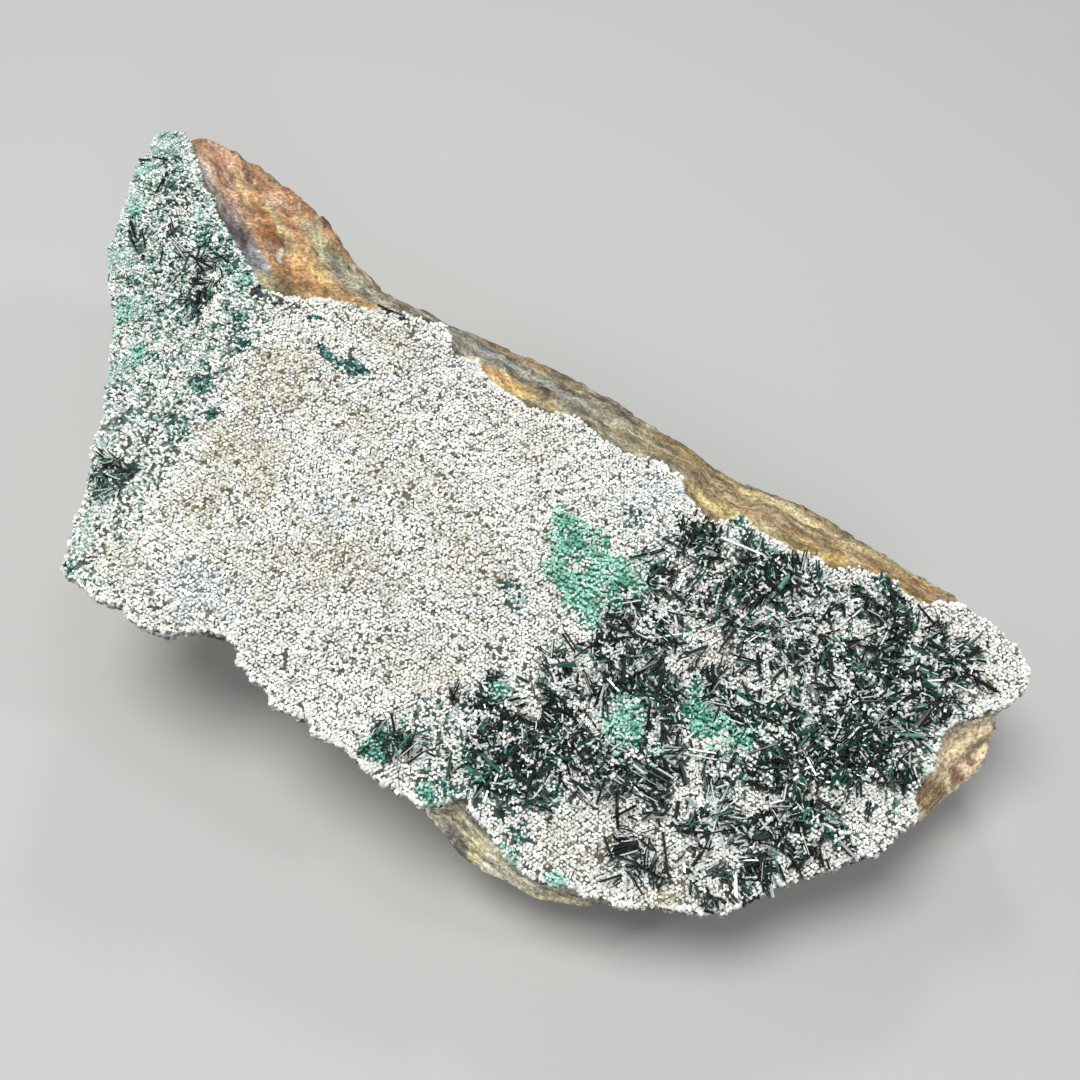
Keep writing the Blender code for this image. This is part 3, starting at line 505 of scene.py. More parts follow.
# Tones of the rock: (colour, x, y, reach along, reach across, turn in degrees, strength).
rockTones = [
    ("#93948a", -12, 29, 27, 5.0, 3, 0.95), ("#a19a7c", 14, 31, 12, 4.0, 3, 0.7),
    ("#b9a374", 45, 34, 24, 6.0, 3, 0.85), ("#a89470", 68, 35, 12, 5.0, 20, 0.6),
    ("#c28e63", -66, 33, 22, 9.0, -25, 1.0), ("#c79560", -50, 27, 14, 9.0, -10, 1.0),
    ("#d0a468", -40, 24.5, 9, 5.0, 15, 0.9), ("#c8997a", -79, 37, 8, 5.0, -35, 0.9),
    ("#8e6139", -62.5, 29.5, 7, 2.0, -35, 0.8), ("#8f5f36", -55, 24, 7, 2.0, -32, 0.8),
    ("#97704a", -70, 33, 8, 1.4, -30, 0.6), ("#a07545", -47, 22, 6, 1.4, -20, 0.5),
    ("#d4b67a", -62, 31.6, 11, 1.1, -27, 0.75), ("#d9bd80", -50, 27.2, 9, 1.2, -20, 0.8),
    ("#a4683c", -63, 29.6, 9, 1.0, -30, 0.7), ("#c79a80", -72, 31.2, 9, 2.0, -33, 0.7),
    ("#dcbd86", -73, 35, 7, 1.0, -33, 0.6), ("#d9b983", -42, 21.5, 8, 1.2, 10, 0.7),
    ("#d8bf95", -66, 34.6, 12, 0.7, -28, 0.7), ("#c9a98a", -69, 28.5, 8, 1.0, -33, 0.6),
    ("#a9a47a", -54, 33, 9, 2.2, -22, 0.8), ("#a3a58c", -46, 30.5, 9, 3.0, -15, 0.9),
    ("#a3a08c", -40, 29, 7, 3.0, 0, 0.85),
    ("#b3a59c", -75, 29.4, 7, 1.8, -33, 1.0), ("#85797a", -66, 25.0, 7, 2.4, -33, 1.0),
    ("#3c3639", -61.5, 23.0, 5.2, 2.0, -33, 1.0), ("#9a9ba3", -56.6, 20.2, 5, 2.2, -28, 1.0),
    ("#b0a87b", -52, 17.8, 4, 1.4, -20, 0.9), ("#c6b78c", -45, 17.0, 7, 1.4, 10, 0.9),
    ("#f2efe8", -56.5, 26.6, 0.9, 0.5, -20, 1.0), ("#eeeae0", -55.6, 24.6, 1.0, 0.5, -30, 1.0),
    ("#ddd8cc", -66.5, 26.4, 1.2, 0.4, -30, 0.8), ("#ded8cf", -42, 22.8, 3.0, 0.5, 5, 0.6),
    ("#7c6a52", -23, 27.3, 7, 0.8, 5, 0.7), ("#84704f", -6, 29.6, 9, 0.8, 5, 0.7),
    ("#826a49", 12, 30.6, 11, 0.9, 6, 0.75), ("#cbc8ba", -20, 25.6, 9, 0.7, 8, 0.7),
    ("#c4c1b2", -2, 31.5, 12, 0.9, 4, 0.6), ("#b4b6ac", -30, 29.5, 8, 1.2, 5, 0.7),
    ("#e0bb74", -9, 25.6, 8, 2.4, 9, 1.0), ("#c28e54", -12, 25.4, 3, 0.8, 9, 0.8),
    ("#e0cc9c", -3, 26.2, 5, 0.9, 9, 0.7),
    ("#cdb678", 29, 27.0, 8, 1.9, 5, 0.95), ("#d6c48c", 39, 28, 7, 1.8, 10, 0.95),
    ("#cdb273", 48, 30.3, 8, 2.1, 12, 0.95), ("#c7a565", 59, 33, 9, 1.7, 8, 0.9),
    ("#8a7654", 22, 31.5, 14, 0.8, 5, 0.7), ("#94805c", 42, 32, 12, 0.8, 5, 0.7),
    ("#b27a4c", 40, 31.2, 14, 0.5, 6, 0.8), ("#b06f47", 62, 36.2, 10, 0.8, 8, 0.8),
    ("#dbc797", 36, 36.5, 12, 1.2, 3, 0.7), ("#d2bb88", 60, 38.5, 12, 1.4, 5, 0.7),
    ("#f0d8b0", 79, 15, 8, 9.0, 60, 1.0), ("#8a5b40", 79.5, 12.3, 1.8, 1.1, 30, 0.9),
    ("#e8d0aa", 80.5, 18, 3.4, 1.6, 60, 0.7), ("#c4a678", 77.5, 5.5, 4.0, 2.4, 60, 0.7),
    # Along the front, under the crust's overhang, the first two tones are partly the rock's own pale
    # yellow and partly painted light that lifts the overhang's shade.
    ("#dcd5ae", 18.0, -36.0, 4.6, 2.6, -25, 1.0), ("#f2ebcb", 28, -37.8, 15.0, 4.0, 5, 1.0),
    ("#8d8688", 22.0, -36.4, 2.6, 1.4, 0, 1.0), ("#c2ac72", -13, -36.0, 4.0, 1.8, 0, 0.9),
    ("#cdc596", 25.5, -36.0, 2.6, 1.4, 10, 0.9), ("#b8b49c", 38, -37, 5.0, 1.6, 10, 0.8),
    ("#b27f4a", -12.5, -35.6, 1.8, 1.0, 0, 0.8), ("#9aa092", 14, -36.4, 2.0, 1.5, 0, 0.8),
    ("#cdc3a4", 40, -35.5, 7.0, 2.0, 20, 0.9), ("#f1ead6", 16.6, -35.2, 1.6, 0.8, -30, 0.9),
    ("#5d5556", 24.0, -36.6, 1.4, 0.9, 0, 0.9), ("#efe8d8", 20.2, -35.8, 1.2, 0.7, 0, 0.8),
    ("#a9a08e", 33, -37, 6.0, 1.2, 5, 0.7), ("#b5793f", 37, -36.6, 1.2, 0.5, 0, 0.8),
    ("#ebe2c4", 29.4, -36.4, 2.0, 0.8, 0, 0.8), ("#f4e6c0", 81, 21.5, 2.6, 1.8, 60, 0.8),
    ("#9a6a4a", 78.4, 8.6, 1.6, 0.8, 60, 0.7), ("#7d5a48", 80.6, 15.2, 0.9, 0.6, 30, 0.9),
    ("#efdfb4", 77.8, 3.8, 1.6, 0.9, 40, 0.8)]


# The folia's height: equal along one layer of the rock, one more on the next.
def foliumOf(points, spacing, wander):
    return (points @ np.array(rock["folia"])) / spacing + wander * valueNoise(points, *rock["bendNoise"])


# Lumps and chips from smooth noise, and ledges where the rock's folia come to the surface.
def roughen(ring, outward, strength):
    lump = rock["lump"] * valueNoise(ring, *rock["lumpNoise"])
    chip = rock["chip"] * valueNoise(ring, *rock["chipNoise"])
    ledge = rock["ledge"] * (foliumOf(ring, rock["ledgeSpacing"], rock["ledgeWander"]) % 1.0 - 0.5)
    whole = smoothStep(valueNoise(ring, *rock["ledgeNoise"]), *rock["ledgeBreak"])
    ledge *= rock["ledgeLeast"] + (1 - rock["ledgeLeast"]) * whole
    rough = ring.copy()
    rough[:, :2] += strength * outward * (lump + chip + ledge)[:, None]
    rough[:, 2] += strength * rock["upShare"] * (lump - chip)
    return rough


# A closed line through its anchors, with its corners rounded by a moving mean.
def lineAtStations(anchors, count, fine):
    table = np.array(anchors, float)
    stations = np.arange(count) / fine
    line = np.stack([np.interp(stations, table[:, 0], table[:, column])
                     for column in range(1, table.shape[1])], axis=1)
    reach = range(-rock["soften"], rock["soften"] + 1)
    return sum(np.roll(line, shift, axis=0) for shift in reach) / len(reach)


# The rock's sides as one grid: rows run from under the crust, out to the girdle, down to the foot.
def rockSides(brow):
    count = len(brow)
    girdle = lineAtStations(rock["girdle"], count, rock["fine"])
    foot = np.column_stack([lineAtStations(rock["foot"], count, rock["fine"]), np.zeros(count)])
    chord = np.roll(girdle, -1, axis=0) - np.roll(girdle, 1, axis=0)
    outward = np.column_stack([chord[:, 1], -chord[:, 0]])
    outward /= np.linalg.norm(outward, axis=1)[:, None]
    sides = []
    for step in np.arange(1, rock["shoulderRows"] + 1) / rock["shoulderRows"]:
        ring = brow + (girdle - brow) * step
        ring[:, 2] = brow[:, 2] + (girdle[:, 2] - brow[:, 2]) * step ** rock["crown"]
        sides.append(roughen(ring, outward, rock["shoulderRough"] * step))
    for step in np.arange(1, rock["skirtRows"]) / rock["skirtRows"]:
        ring = girdle + (foot - girdle) * step ** rock["belly"]
        ring[:, 2] = girdle[:, 2] * (1 - step)
        sides.append(roughen(ring, outward, np.interp(step, *rock["skirtRough"])))
    return np.stack(sides), foot


# Broken facets, thin laminae and grit, pushed along the surface's own normals.
def breakSurface(sides):
    around = np.roll(sides, -1, axis=1) - np.roll(sides, 1, axis=1)
    down = np.gradient(sides, axis=0)
    normal = np.cross(down, around)
    normal /= np.linalg.norm(normal, axis=2)[..., None] + 1e-9
    flat = sides.reshape(-1, 3)
    lamina = (foliumOf(flat, rock["laminaSpacing"], rock["laminaWander"])
              + rock["laminaWave"] * valueNoise(flat, *rock["laminaNoise"]))
    push = (rock["facet"] * chipNoise(flat, *rock["facetNoise"])
            + rock["smallFacet"] * chipNoise(flat, *rock["smallFacetNoise"])
            + rock["lamina"] * (lamina % 1.0 - 0.5)
            + rock["grit"] * roughNoise(flat, *rock["gritNoise"]))
    row, (top, foot) = np.arange(len(sides)), rock["fadeRows"]
    fade = np.minimum(1, row / top) * np.minimum(1, (len(sides) - row) / foot)
    return sides + normal * (push.reshape(sides.shape[:2]) * fade[:, None])[..., None]


# Patterns in the rock's colours, and its shades: each one's share, where its pattern starts and
# is full, and its colour.
rockPatterns = {
    "blotch": (9.0, 51, 3), "rust": (13.0, 59, 3), "speck": (1.5, 57), "edge": (2.6, 55, 3),
    "edgeWander": 0.3, "edgeReach": (1.3, 0.5), "toneLoss": 0.6, "deepWander": 4.0,
    "streak": (1.0, 54), "streakStretch": (0.12, 0.12, 1.0), "streakFolia": (1.1, 4.0),
    "layer": (1.0, 58), "layerStretch": (0.04, 0.04, 0.0), "layerFolia": (5.0, 2.0),
    "deep": (11.0, 25.0)}
rockShades = {
    "ochre": (0.9, -0.1, 0.9, "#a98c5c"), "grey": (0.9, 0.1, 0.9, "#666253"),
    "brownLayer": (0.6, 0.05, 0.6, "#6d5b42"), "greyLayer": (0.6, 0.05, 0.6, "#9a9580"),
    "rust": (0.55, 0.3, 0.9, "#9c643a"), "darkStreak": (0.6, 0.15, 0.8, "#000000"),
    "paleStreak": (0.34, 0.2, 0.8, "#e6dfca"), "darkSpeck": (0.28, 0.35, 0.8, "#3a3026"),
    "paleSpeck": (0.3, 0.4, 0.8, "#efe5c8")}


# Tints colours with one of the rock's shades where a pattern is high, by its share and a weight.
def patternTint(colours, pattern, name, weight=1.0):
    share, low, high, hexValue = rockShades[name]
    return tint(colours, share * weight * smoothStep(pattern, low, high), hexValue)


# The rock's colours, from its base up: blotches, the named tones, deep layers, streaks, specks.
def rockColours(points):
    plan, look = points[:, :2], rockPatterns
    colours = np.tile(colourOf(rock["base"]), (len(points), 1))
    blotch = roughNoise(points, *look["blotch"])
    colours = patternTint(colours, blotch, "ochre")
    colours = patternTint(colours, -blotch, "grey")
    # Far below the crust the tones fade into brown, grey and rusty layers along the folia.
    below = faceHeight(plan[:, 0], plan[:, 1]) - points[:, 2]
    deep = smoothStep(below + look["deepWander"] * blotch, *look["deep"])
    wander = look["edgeWander"] * roughNoise(points, *look["edge"])
    for hexValue, *ellipse, strength in rockTones:
        reached = strength * ellipseShare(plan, ellipse, wander, look["edgeReach"])
        colours = tint(colours, reached * (1 - look["toneLoss"] * deep), hexValue)
    along = np.outer(foliumOf(points, *look["layerFolia"]), (0, 0, 1))
    layer = valueNoise(points * look["layerStretch"] + along, *look["layer"])
    colours = patternTint(colours, layer, "brownLayer", deep)
    colours = patternTint(colours, -layer, "greyLayer", deep)
    colours = patternTint(colours, roughNoise(points, *look["rust"]), "rust", deep)
    # Streaks along the folia; the dark ones keep the hue of the tone under them.
    along = foliumOf(points, *look["streakFolia"])[:, None]
    streak = valueNoise(points * look["streakStretch"] + along, *look["streak"])
    colours = patternTint(colours, streak, "darkStreak")
    colours = patternTint(colours, -streak, "paleStreak")
    speck = valueNoise(points, *look["speck"])
    return patternTint(patternTint(colours, speck, "darkSpeck"), -speck, "paleSpeck")


# Sizes of the schist's patterns in mm; the folia are far longer than they are thick.
schist = {
    "grain": 0.6, "seam": 0.7, "mottle": 3.5, "joint": 3.2, "stretch": (0.12, 0.12, 0.0),
    "grainShade": (0.5, 1.5), "seamShade": (0.55, 1.5), "gloss": (0.55, 0.9),
    "crackDepth": 0.72, "crackGap": (0.056, 0.068), "crackMottle": 0.12, "relief": 0.6}


# Foliated, iron-stained schist: broken along its layers, dull, with small glints of mica.
def makeRockMaterial():
    material = newMaterial("ironStainedSchist")
    place = addNode(material, "ShaderNodeTexCoord").outputs["Object"]
    stain = addNode(material, "ShaderNodeAttribute", attribute_name="Tint")
    folium = addNode(material, "ShaderNodeVectorMath",
                     {0: place, 1: rock["folia"]}, operation="DOT_PRODUCT")
    stretched = addNode(material, "ShaderNodeVectorMath",
                        {0: place, 1: schist["stretch"]}, operation="MULTIPLY")
    layered = addNode(material, "ShaderNodeVectorMath",
                      {0: folium.outputs["Value"], 1: (0.0, 0.0, 1.0), 2: stretched.outputs["Vector"]},
                      operation="MULTIPLY_ADD").outputs["Vector"]
    noises = {}
    for name, where, detail, roughness in (("grain", place, 4.0, 0.65), ("seam", layered, 3.0, 0.6),
                                           ("mottle", place, 3.0, 0.6), ("joint", layered, 4.0, 0.6)):
        noises[name] = addNode(material, "ShaderNodeTexNoise",
                               {"Vector": where, "Scale": 1000 / schist[name], "Detail": detail,
                                "Roughness": roughness}).outputs["Fac"]
    # Cracks: dark lines where the joint noise passes its middle, only where the mottle is low.
    aside = addNode(material, "ShaderNodeMath", {0: noises["joint"], 1: 0.5}, operation="SUBTRACT")
    distance = addNode(material, "ShaderNodeMath", {0: aside.outputs["Value"]}, operation="ABSOLUTE")
    reach = addNode(material, "ShaderNodeMath",
                    {0: noises["mottle"], 1: schist["crackMottle"], 2: distance.outputs["Value"]},
                    operation="MULTIPLY_ADD")
    crackGap = schist["crackGap"]
    shades = {}
    for name, value, fromLow, fromHigh, toLow, toHigh in (
            ("grain", noises["grain"], 0.37, 0.63, *schist["grainShade"]),
            ("seam", noises["seam"], 0.36, 0.64, *schist["seamShade"]),
            ("gloss", noises["mottle"], 0.35, 0.65, *schist["gloss"]),
            ("crack", reach.outputs["Value"], *crackGap, schist["crackDepth"], 1.0)):
        shades[name] = addNode(material, "ShaderNodeMapRange",
                               {"Value": value, "From Min": fromLow, "From Max": fromHigh,
                                "To Min": toLow, "To Max": toHigh}).outputs["Result"]
    both = addNode(material, "ShaderNodeMath", {0: shades["grain"], 1: shades["seam"]},
                   operation="MULTIPLY")
    whole = addNode(material, "ShaderNodeMath", {0: both.outputs["Value"], 1: shades["crack"]},
                    operation="MULTIPLY")
    lit = addNode(material, "ShaderNodeVectorMath",
                  {0: stain.outputs["Color"], 1: whole.outputs["Value"]}, operation="MULTIPLY")
    cut = addNode(material, "ShaderNodeMath", {0: shades["crack"], 1: 0.5, 2: noises["grain"]},
                  operation="MULTIPLY_ADD")
    bump = addNode(material, "ShaderNodeBump",
                   {"Height": cut.outputs["Value"], "Strength": 1.0,
                    "Distance": schist["relief"] * specimen["metre"]})
    shader = addNode(material, "ShaderNodeBsdfPrincipled",
                     {"Base Color": lit.outputs["Vector"], "Roughness": shades["gloss"],
                      "Normal": bump.outputs["Normal"], "IOR": 1.55})
    return finishMaterial(material, shader)


# The rock as one closed mesh: a grid under the crust, rings down its sides, a fan underneath.
def makeRock(border):
    plan = outlineGrid(rock["fine"])
    columns, rows = plan.shape[:2]
    top = onFace(pullIn(plan, rock["inset"] * rock["fine"]), -rock["drop"]).reshape(-1, 3)
    sides, foot = rockSides(top[border])
    sides = breakSurface(sides)
    sides[..., 2] = np.maximum(sides[..., 2], rock["floorGap"])
    rings = [border]
    for row in range(len(sides) + 1):
        rings.append(len(top) + len(border) * row + np.arange(len(border)))
    points = np.concatenate([top, sides.reshape(-1, 3), foot, [foot.mean(axis=0)]])
    triangles = [gridTriangles(columns, rows)]
    triangles += [bandTriangles(upper, lower) for upper, lower in zip(rings, rings[1:])]
    last = rings[-1]
    centre = np.full(len(last), len(points) - 1)
    triangles.append(np.stack([np.roll(last, -1), last, centre], axis=1))
    piece = addPiece("rockSurface", points, np.concatenate(triangles), makeRockMaterial(),
                     {"Tint": rockColours(points)}, smooth=True)
    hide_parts("matrix_rock")


# The crust's own body, seen as the dark ground between the grains and as the broken rim.
crust = {
    "ragged": 0.45, "sunk": 0.42, "thickness": 2.6, "undercut": 0.10, "lump": 0.2,
    "lumpNoise": (2.2, 61, 2), "thinner": 1.1, "thinnerNoise": (5.0, 63), "thinnerEdge": (-0.5, 0.5),
    "rimSteps": (0.3, 0.65), "rimRough": 0.35, "rimNoise": (1.5, 62), "rimDepth": (0.6, 1.2),
    "leftShare": 0.85, "fieldShare": 0.85, "stainShare": 0.9, "rimShare": 0.7,
    "ground": "#4c4a43", "left": "#4b655c", "field": "#232b28", "beige": "#75654a",
    "teal": "#20463f", "mint": "#55a88f", "black": "#2a302e", "blue": "#6a787e",
    "film": "#9cc0b4", "rim": "#8f8874"}


# Small cauliflower swells that the ground and the grains on it share.
def crustLump(plan):
    return crust["lump"] * roughNoise(flatPoints(plan), *crust["lumpNoise"])


# Dark ground, greener on the left strip, darkest under the needles, with stains and a pale rim.
def groundColours(points):
    plan = points[:, :2]
    colours = np.tile(colourOf(crust["ground"]), (len(points), 1))
    colours = tint(colours, crust["leftShare"] * leftStripOf(plan), crust["left"])
    colours = tint(colours, crust["fieldShare"] * fieldOf(plan), crust["field"])
    for kind in ("film", "beige", "blue", "teal", "mint", "black"):
        colours = tint(colours, crust["stainShare"] * stainOf(kind, plan), crust[kind])
    below = faceHeight(plan[:, 0], plan[:, 1]) - points[:, 2]
    return tint(colours, crust["rimShare"] * smoothStep(below, *crust["rimDepth"]), crust["rim"])


# Compact druse base: dull, fine-grained quartz with green and iron stains.
def makeGroundMaterial():
    material = newMaterial("druseGround")
    place = addNode(material, "ShaderNodeTexCoord").outputs["Object"]
    grain = addNode(material, "ShaderNodeTexNoise",        # fine grains, 0.5 mm across
                    {"Vector": place, "Scale": 1 / 0.0005, "Detail": 3.0, "Roughness": 0.6})
    stain = addNode(material, "ShaderNodeAttribute", attribute_name="Tint")
    shade = addNode(material, "ShaderNodeMapRange",
                    {"Value": grain.outputs["Fac"], "From Min": 0.3, "From Max": 0.7,
                     "To Min": 0.6, "To Max": 1.4})
    lit = addNode(material, "ShaderNodeVectorMath",
                  {0: stain.outputs["Color"], 1: shade.outputs["Result"]}, operation="MULTIPLY")
    bump = addNode(material, "ShaderNodeBump",
                   {"Height": grain.outputs["Fac"], "Strength": 0.7, "Distance": 0.0003})
    shader = addNode(material, "ShaderNodeBsdfPrincipled",
                     {"Base Color": lit.outputs["Vector"], "Roughness": 0.7,
                      "Normal": bump.outputs["Normal"], "IOR": 1.54})
    return finishMaterial(material, shader)


# The crust as a closed plate: one grid for its top and its underside, with rough rings between.
def makeCrust(plan, border):
    columns, rows = plan.shape[:2]
    top = onFace(plan, -crust["sunk"]).reshape(-1, 3)
    top[:, 2] += crustLump(top[:, :2])
    under = onFace(pullIn(plan, crust["undercut"] * rock["fine"]), -crust["thickness"]).reshape(-1, 3)
    thin = smoothStep(valueNoise(under, *crust["thinnerNoise"]), *crust["thinnerEdge"])
    under[:, 2] += crust["thinner"] * thin
    upper, lower = top[border], under[border]
    rings = []
    for step in crust["rimSteps"]:
        ring = upper + (lower - upper) * step
        push = crust["rimRough"] * valueNoise(ring, *crust["rimNoise"])
        ring[:, :2] += push[:, None] * outwardOf(ring)
        rings.append(ring)
    points = np.concatenate([top] + rings + [under])
    start = len(top)
    lines = [border]
    for ring in rings:
        lines.append(start + np.arange(len(ring)))
        start += len(ring)
    lines.append(start + border)
    triangles = [gridTriangles(columns, rows), start + gridTriangles(columns, rows)[:, ::-1]]
    triangles += [bandTriangles(above, below) for above, below in zip(lines, lines[1:])]
    piece = addPiece("crustGround", points, np.concatenate(triangles), makeGroundMaterial(),
                     {"Tint": groundColours(points)}, smooth=True)
    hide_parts("druse_crust")


# Plan directions pointing out of a closed anticlockwise line of points.
def outwardOf(ring):
    chord = np.roll(ring, -2, axis=0) - np.roll(ring, 2, axis=0)
    outward = np.column_stack([chord[:, 1], -chord[:, 0]])
    return outward / (np.linalg.norm(outward, axis=1)[:, None] + 1e-9)


# The druse: small closed blocks with uneven corners, each turned its own way.
druse = {
    "spacings": {"middle": 0.54, "left": 0.5, "stained": 0.44}, "loose": 0.18, "seed": 41,
    "long": (0.74, 1.06), "wide": (0.64, 0.9), "high": (0.5, 0.76), "jitter": 0.15,
    # foot, footCoated, footMint and footReach set the painted shade round the grains' feet.
    "foot": 0.3, "footCoated": 0.45, "footMint": 0.5, "footReach": (-0.22, 0.06),
    "bed": 0.3, "rise": (-0.14, 0.12), "mintRise": (0.4, 1.3), "underNeedles": 0.9, "blackGaps": 0.5,
    "lift": 1.5, "liftRange": (0.5, 1.2), "leftLift": 0.4, "leftLiftRange": (0.3, 1.0),
    "leftFrom": 0.5, "leftMix": 0.3, "stainedFrom": 0.45, "stainedMix": 0.2,
    "crackNoise": (3.4, 91), "crackWidth": 0.035, "crackShare": 0.55,
    "crackPatches": (7.0, 92), "crackLeast": -0.25,
    "leftBare": 0.8, "softShare": 0.9,        # shares of the grains that take each palette's colours
    "shares": {"greys": 0.05, "pales": 0.5, "mosses": 0.14, "films": 0.85, "teals": 0.8,
               "mints": 0.4, "blacks": 0.35},
    "coat": 0.8, "coatNoise": (1.2, 98), "coatEdge": (-0.8, 0.1), "jadeNoise": (1.7, 97),
    "jadeDeep": (-0.3, 0.6),
    "whites": ["#fafaf5", "#f3f4ef", "#f6f4ea", "#ebeeeb"],
    "creams": ["#d9d2bb", "#cac3a8", "#e3decc", "#b6af96"],
    "cools": ["#e2eaec", "#d1dce0", "#ebf2f3"],
    "greys": ["#a5a18e", "#8b8873", "#b5b1a0", "#7d7966"],
    "pales": ["#c9dfd6", "#dae9e3", "#b2cfc4", "#9bbaaf"],
    "films": ["#bcd8ce", "#a3c6ba", "#d3e4de", "#8fb3a7", "#b2cbc4", "#c9d4d5"],
    "mints": ["#7de0c3", "#aef0dd", "#5cc2a5", "#92e4cf", "#48a88f", "#c6f2e5", "#35846f",
              "#dcf6ee"],
    "jades": ["#44ad8c", "#b6f2df"],
    "mosses": ["#567c6e", "#406759", "#739a8b", "#2f5349", "#88b2a3"],
    "teals": ["#38766b", "#295650", "#5f978c", "#1d433f", "#97c0b5", "#c3dad2"],
    "blacks": ["#2b3230", "#39423f", "#1b1f1e", "#4b5552"]}


# Random turns: unit quaternions made into matrices.
def randomTurns(draw, count):
    w, x, y, z = draw.normal(size=(count, 4)).T
    size = np.sqrt(w * w + x * x + y * y + z * z)
    w, x, y, z = w / size, x / size, y / size, z / size
    return np.stack([1 - 2 * (y * y + z * z), 2 * (x * y - z * w), 2 * (x * z + y * w),
                     2 * (x * y + z * w), 1 - 2 * (x * x + z * z), 2 * (y * z - x * w),
                     2 * (x * z - y * w), 2 * (y * z + x * w), 1 - 2 * (x * x + y * y)],
                    axis=1).reshape(-1, 3, 3)


# Closed blocks of eight jittered corners and twelve triangles round each centre.
def blocks(centres, sizes, draw):
    corners = np.array(list(itertools.product((-0.5, 0.5), repeat=3)))
    jitter = draw.uniform(-druse["jitter"], druse["jitter"], (len(centres), 8, 3))
    local = (corners + jitter) * sizes[:, None, :]
    points = centres[:, None, :] + np.einsum("nij,nkj->nki", randomTurns(draw, len(centres)), local)
    quads = np.array([(0, 1, 3, 2), (4, 6, 7, 5), (0, 4, 5, 1),
                      (2, 3, 7, 6), (0, 2, 6, 4), (1, 5, 7, 3)])
    one = np.concatenate([quads[:, [0, 1, 2]], quads[:, [0, 2, 3]]])
    triangles = (np.arange(len(centres)) * 8)[:, None, None] + one[None]
    return points.reshape(-1, 3), triangles.reshape(-1, 3)


rowPitch = 0.87        # of a column's pitch, as in a grid of even triangles
needleLoose = 0.32     # of the spacing


# Places on a staggered grid over the outline, each moved a little at random.
def scatter(draw, polygon, spacing, loose=needleLoose):
    low, high = np.min(polygon, axis=0), np.max(polygon, axis=0)
    x = np.arange(low[0], high[0], spacing)
    y = np.arange(low[1], high[1], spacing * rowPitch)
    grid = np.stack(np.meshgrid(x, y, indexing="ij"), axis=-1)
    grid[:, ::2, 0] += spacing / 2
    plan = grid.reshape(-1, 2)
    return plan + draw.uniform(-loose, loose, plan.shape) * spacing


# White grains, tinted softly by beige and blue, some of them picked from the other palettes.
def grainColours(plan, draw):
    count = len(plan)
    left = leftStripOf(plan) * (1 - druse["leftBare"] * tuftOf(plan, 0.0))
    colours = pickFrom(druse["whites"], draw, count)
    for kind, palette in (("beige", "creams"), ("blue", "cools")):
        share = druse["softShare"] * np.clip(stainOf(kind, plan), 0, 1) * draw.random(count)
        colours += (pickFrom(druse[palette], draw, count) - colours) * share[:, None]
    where = {"greys": 1.0, "pales": left, "mosses": left}
    for kind in ("film", "teal", "mint", "black"):
        where[kind + "s"] = stainOf(kind, plan)
    for palette, share in druse["shares"].items():
        hit = draw.random(count) < share * where[palette]
        colours[hit] = pickFrom(druse[palette], draw, count)[hit]
    # Jade coats the grains, deep and pale in turn over a few of them.
    deepJade, paleJade = (np.array(colourOf(hexValue)) for hexValue in druse["jades"])
    deep = smoothStep(valueNoise(flatPoints(plan), *druse["jadeNoise"]), *druse["jadeDeep"])[:, None]
    coat = smoothStep(valueNoise(flatPoints(plan), *druse["coatNoise"]), *druse["coatEdge"])
    coat *= druse["coat"] * np.clip(where["mints"], 0, 1)
    colours += (deepJade * deep + paleJade * (1 - deep) - colours) * coat[:, None]
    colours[:, 3] = draw.uniform(0, 1, count)        # each grain's own gloss
    return colours


# Tiny quartz crystals: clear to milky, glassy, each with its own gloss.
def makeDruseMaterial():
    material = newMaterial("quartzGrains")
    stain = addNode(material, "ShaderNodeAttribute", attribute_name="Tint")
    gloss = addNode(material, "ShaderNodeMapRange",
                    {"Value": stain.outputs["Alpha"], "To Min": 0.12, "To Max": 0.6})
    shader = addNode(material, "ShaderNodeBsdfPrincipled",
                     {"Base Color": stain.outputs["Color"], "Roughness": gloss.outputs["Result"],
                      "IOR": 1.54})
    return finishMaterial(material, shader)


# Cracks between the cauliflower swells: thin lines where a smooth noise passes through nought.
def crackOf(plan):
    line = np.abs(valueNoise(flatPoints(plan), *druse["crackNoise"])) < druse["crackWidth"]
    return line & (valueNoise(flatPoints(plan), *druse["crackPatches"]) > druse["crackLeast"])


# Which of the three sizes of grain grows at each place.
def grainKinds(plan, draw):
    stained = stainOf("mint", plan) + stainOf("teal", plan) + stainOf("film", plan)
    left = leftStripOf(plan) + draw.uniform(-druse["leftMix"], druse["leftMix"], len(plan))
    mixed = draw.uniform(-druse["stainedMix"], druse["stainedMix"], len(plan))
    kinds = np.where(left > druse["leftFrom"], "left", "middle")
    return np.where(stained > druse["stainedFrom"] + mixed, "stained", kinds)


# Painted shade: grains are darker round their feet, where they meet the ground and shade gathers in the
# crevices between them; less so where film or mint coats them.
def paintedFootShade(points, centres, colours):
    plan = centres[:, :2]
    coated = np.clip(stainOf("film", plan) + druse["footMint"] * stainOf("mint", plan), 0, 1)
    foot = np.repeat(druse["foot"] + druse["footCoated"] * coated, 8)
    rise = points[:, 2] - np.repeat(centres[:, 2], 8)
    shade = foot + (1 - foot) * smoothStep(rise, *druse["footReach"])
    shaded = np.repeat(colours, 8, axis=0)
    shaded[:, :3] *= shade[:, None]
    return shaded


# Grains down the broken rim: how many at each station, how far in and down, their sizes and how much
# painted shade darkens them downwards, as under the crust's overhanging edge.
rimGrains = {"each": 8, "inset": (0.16, 0.35), "loose": 0.22, "down": (0.2, 2.0),
             "sizes": (0.34, 0.62), "paintedShade": 0.7}


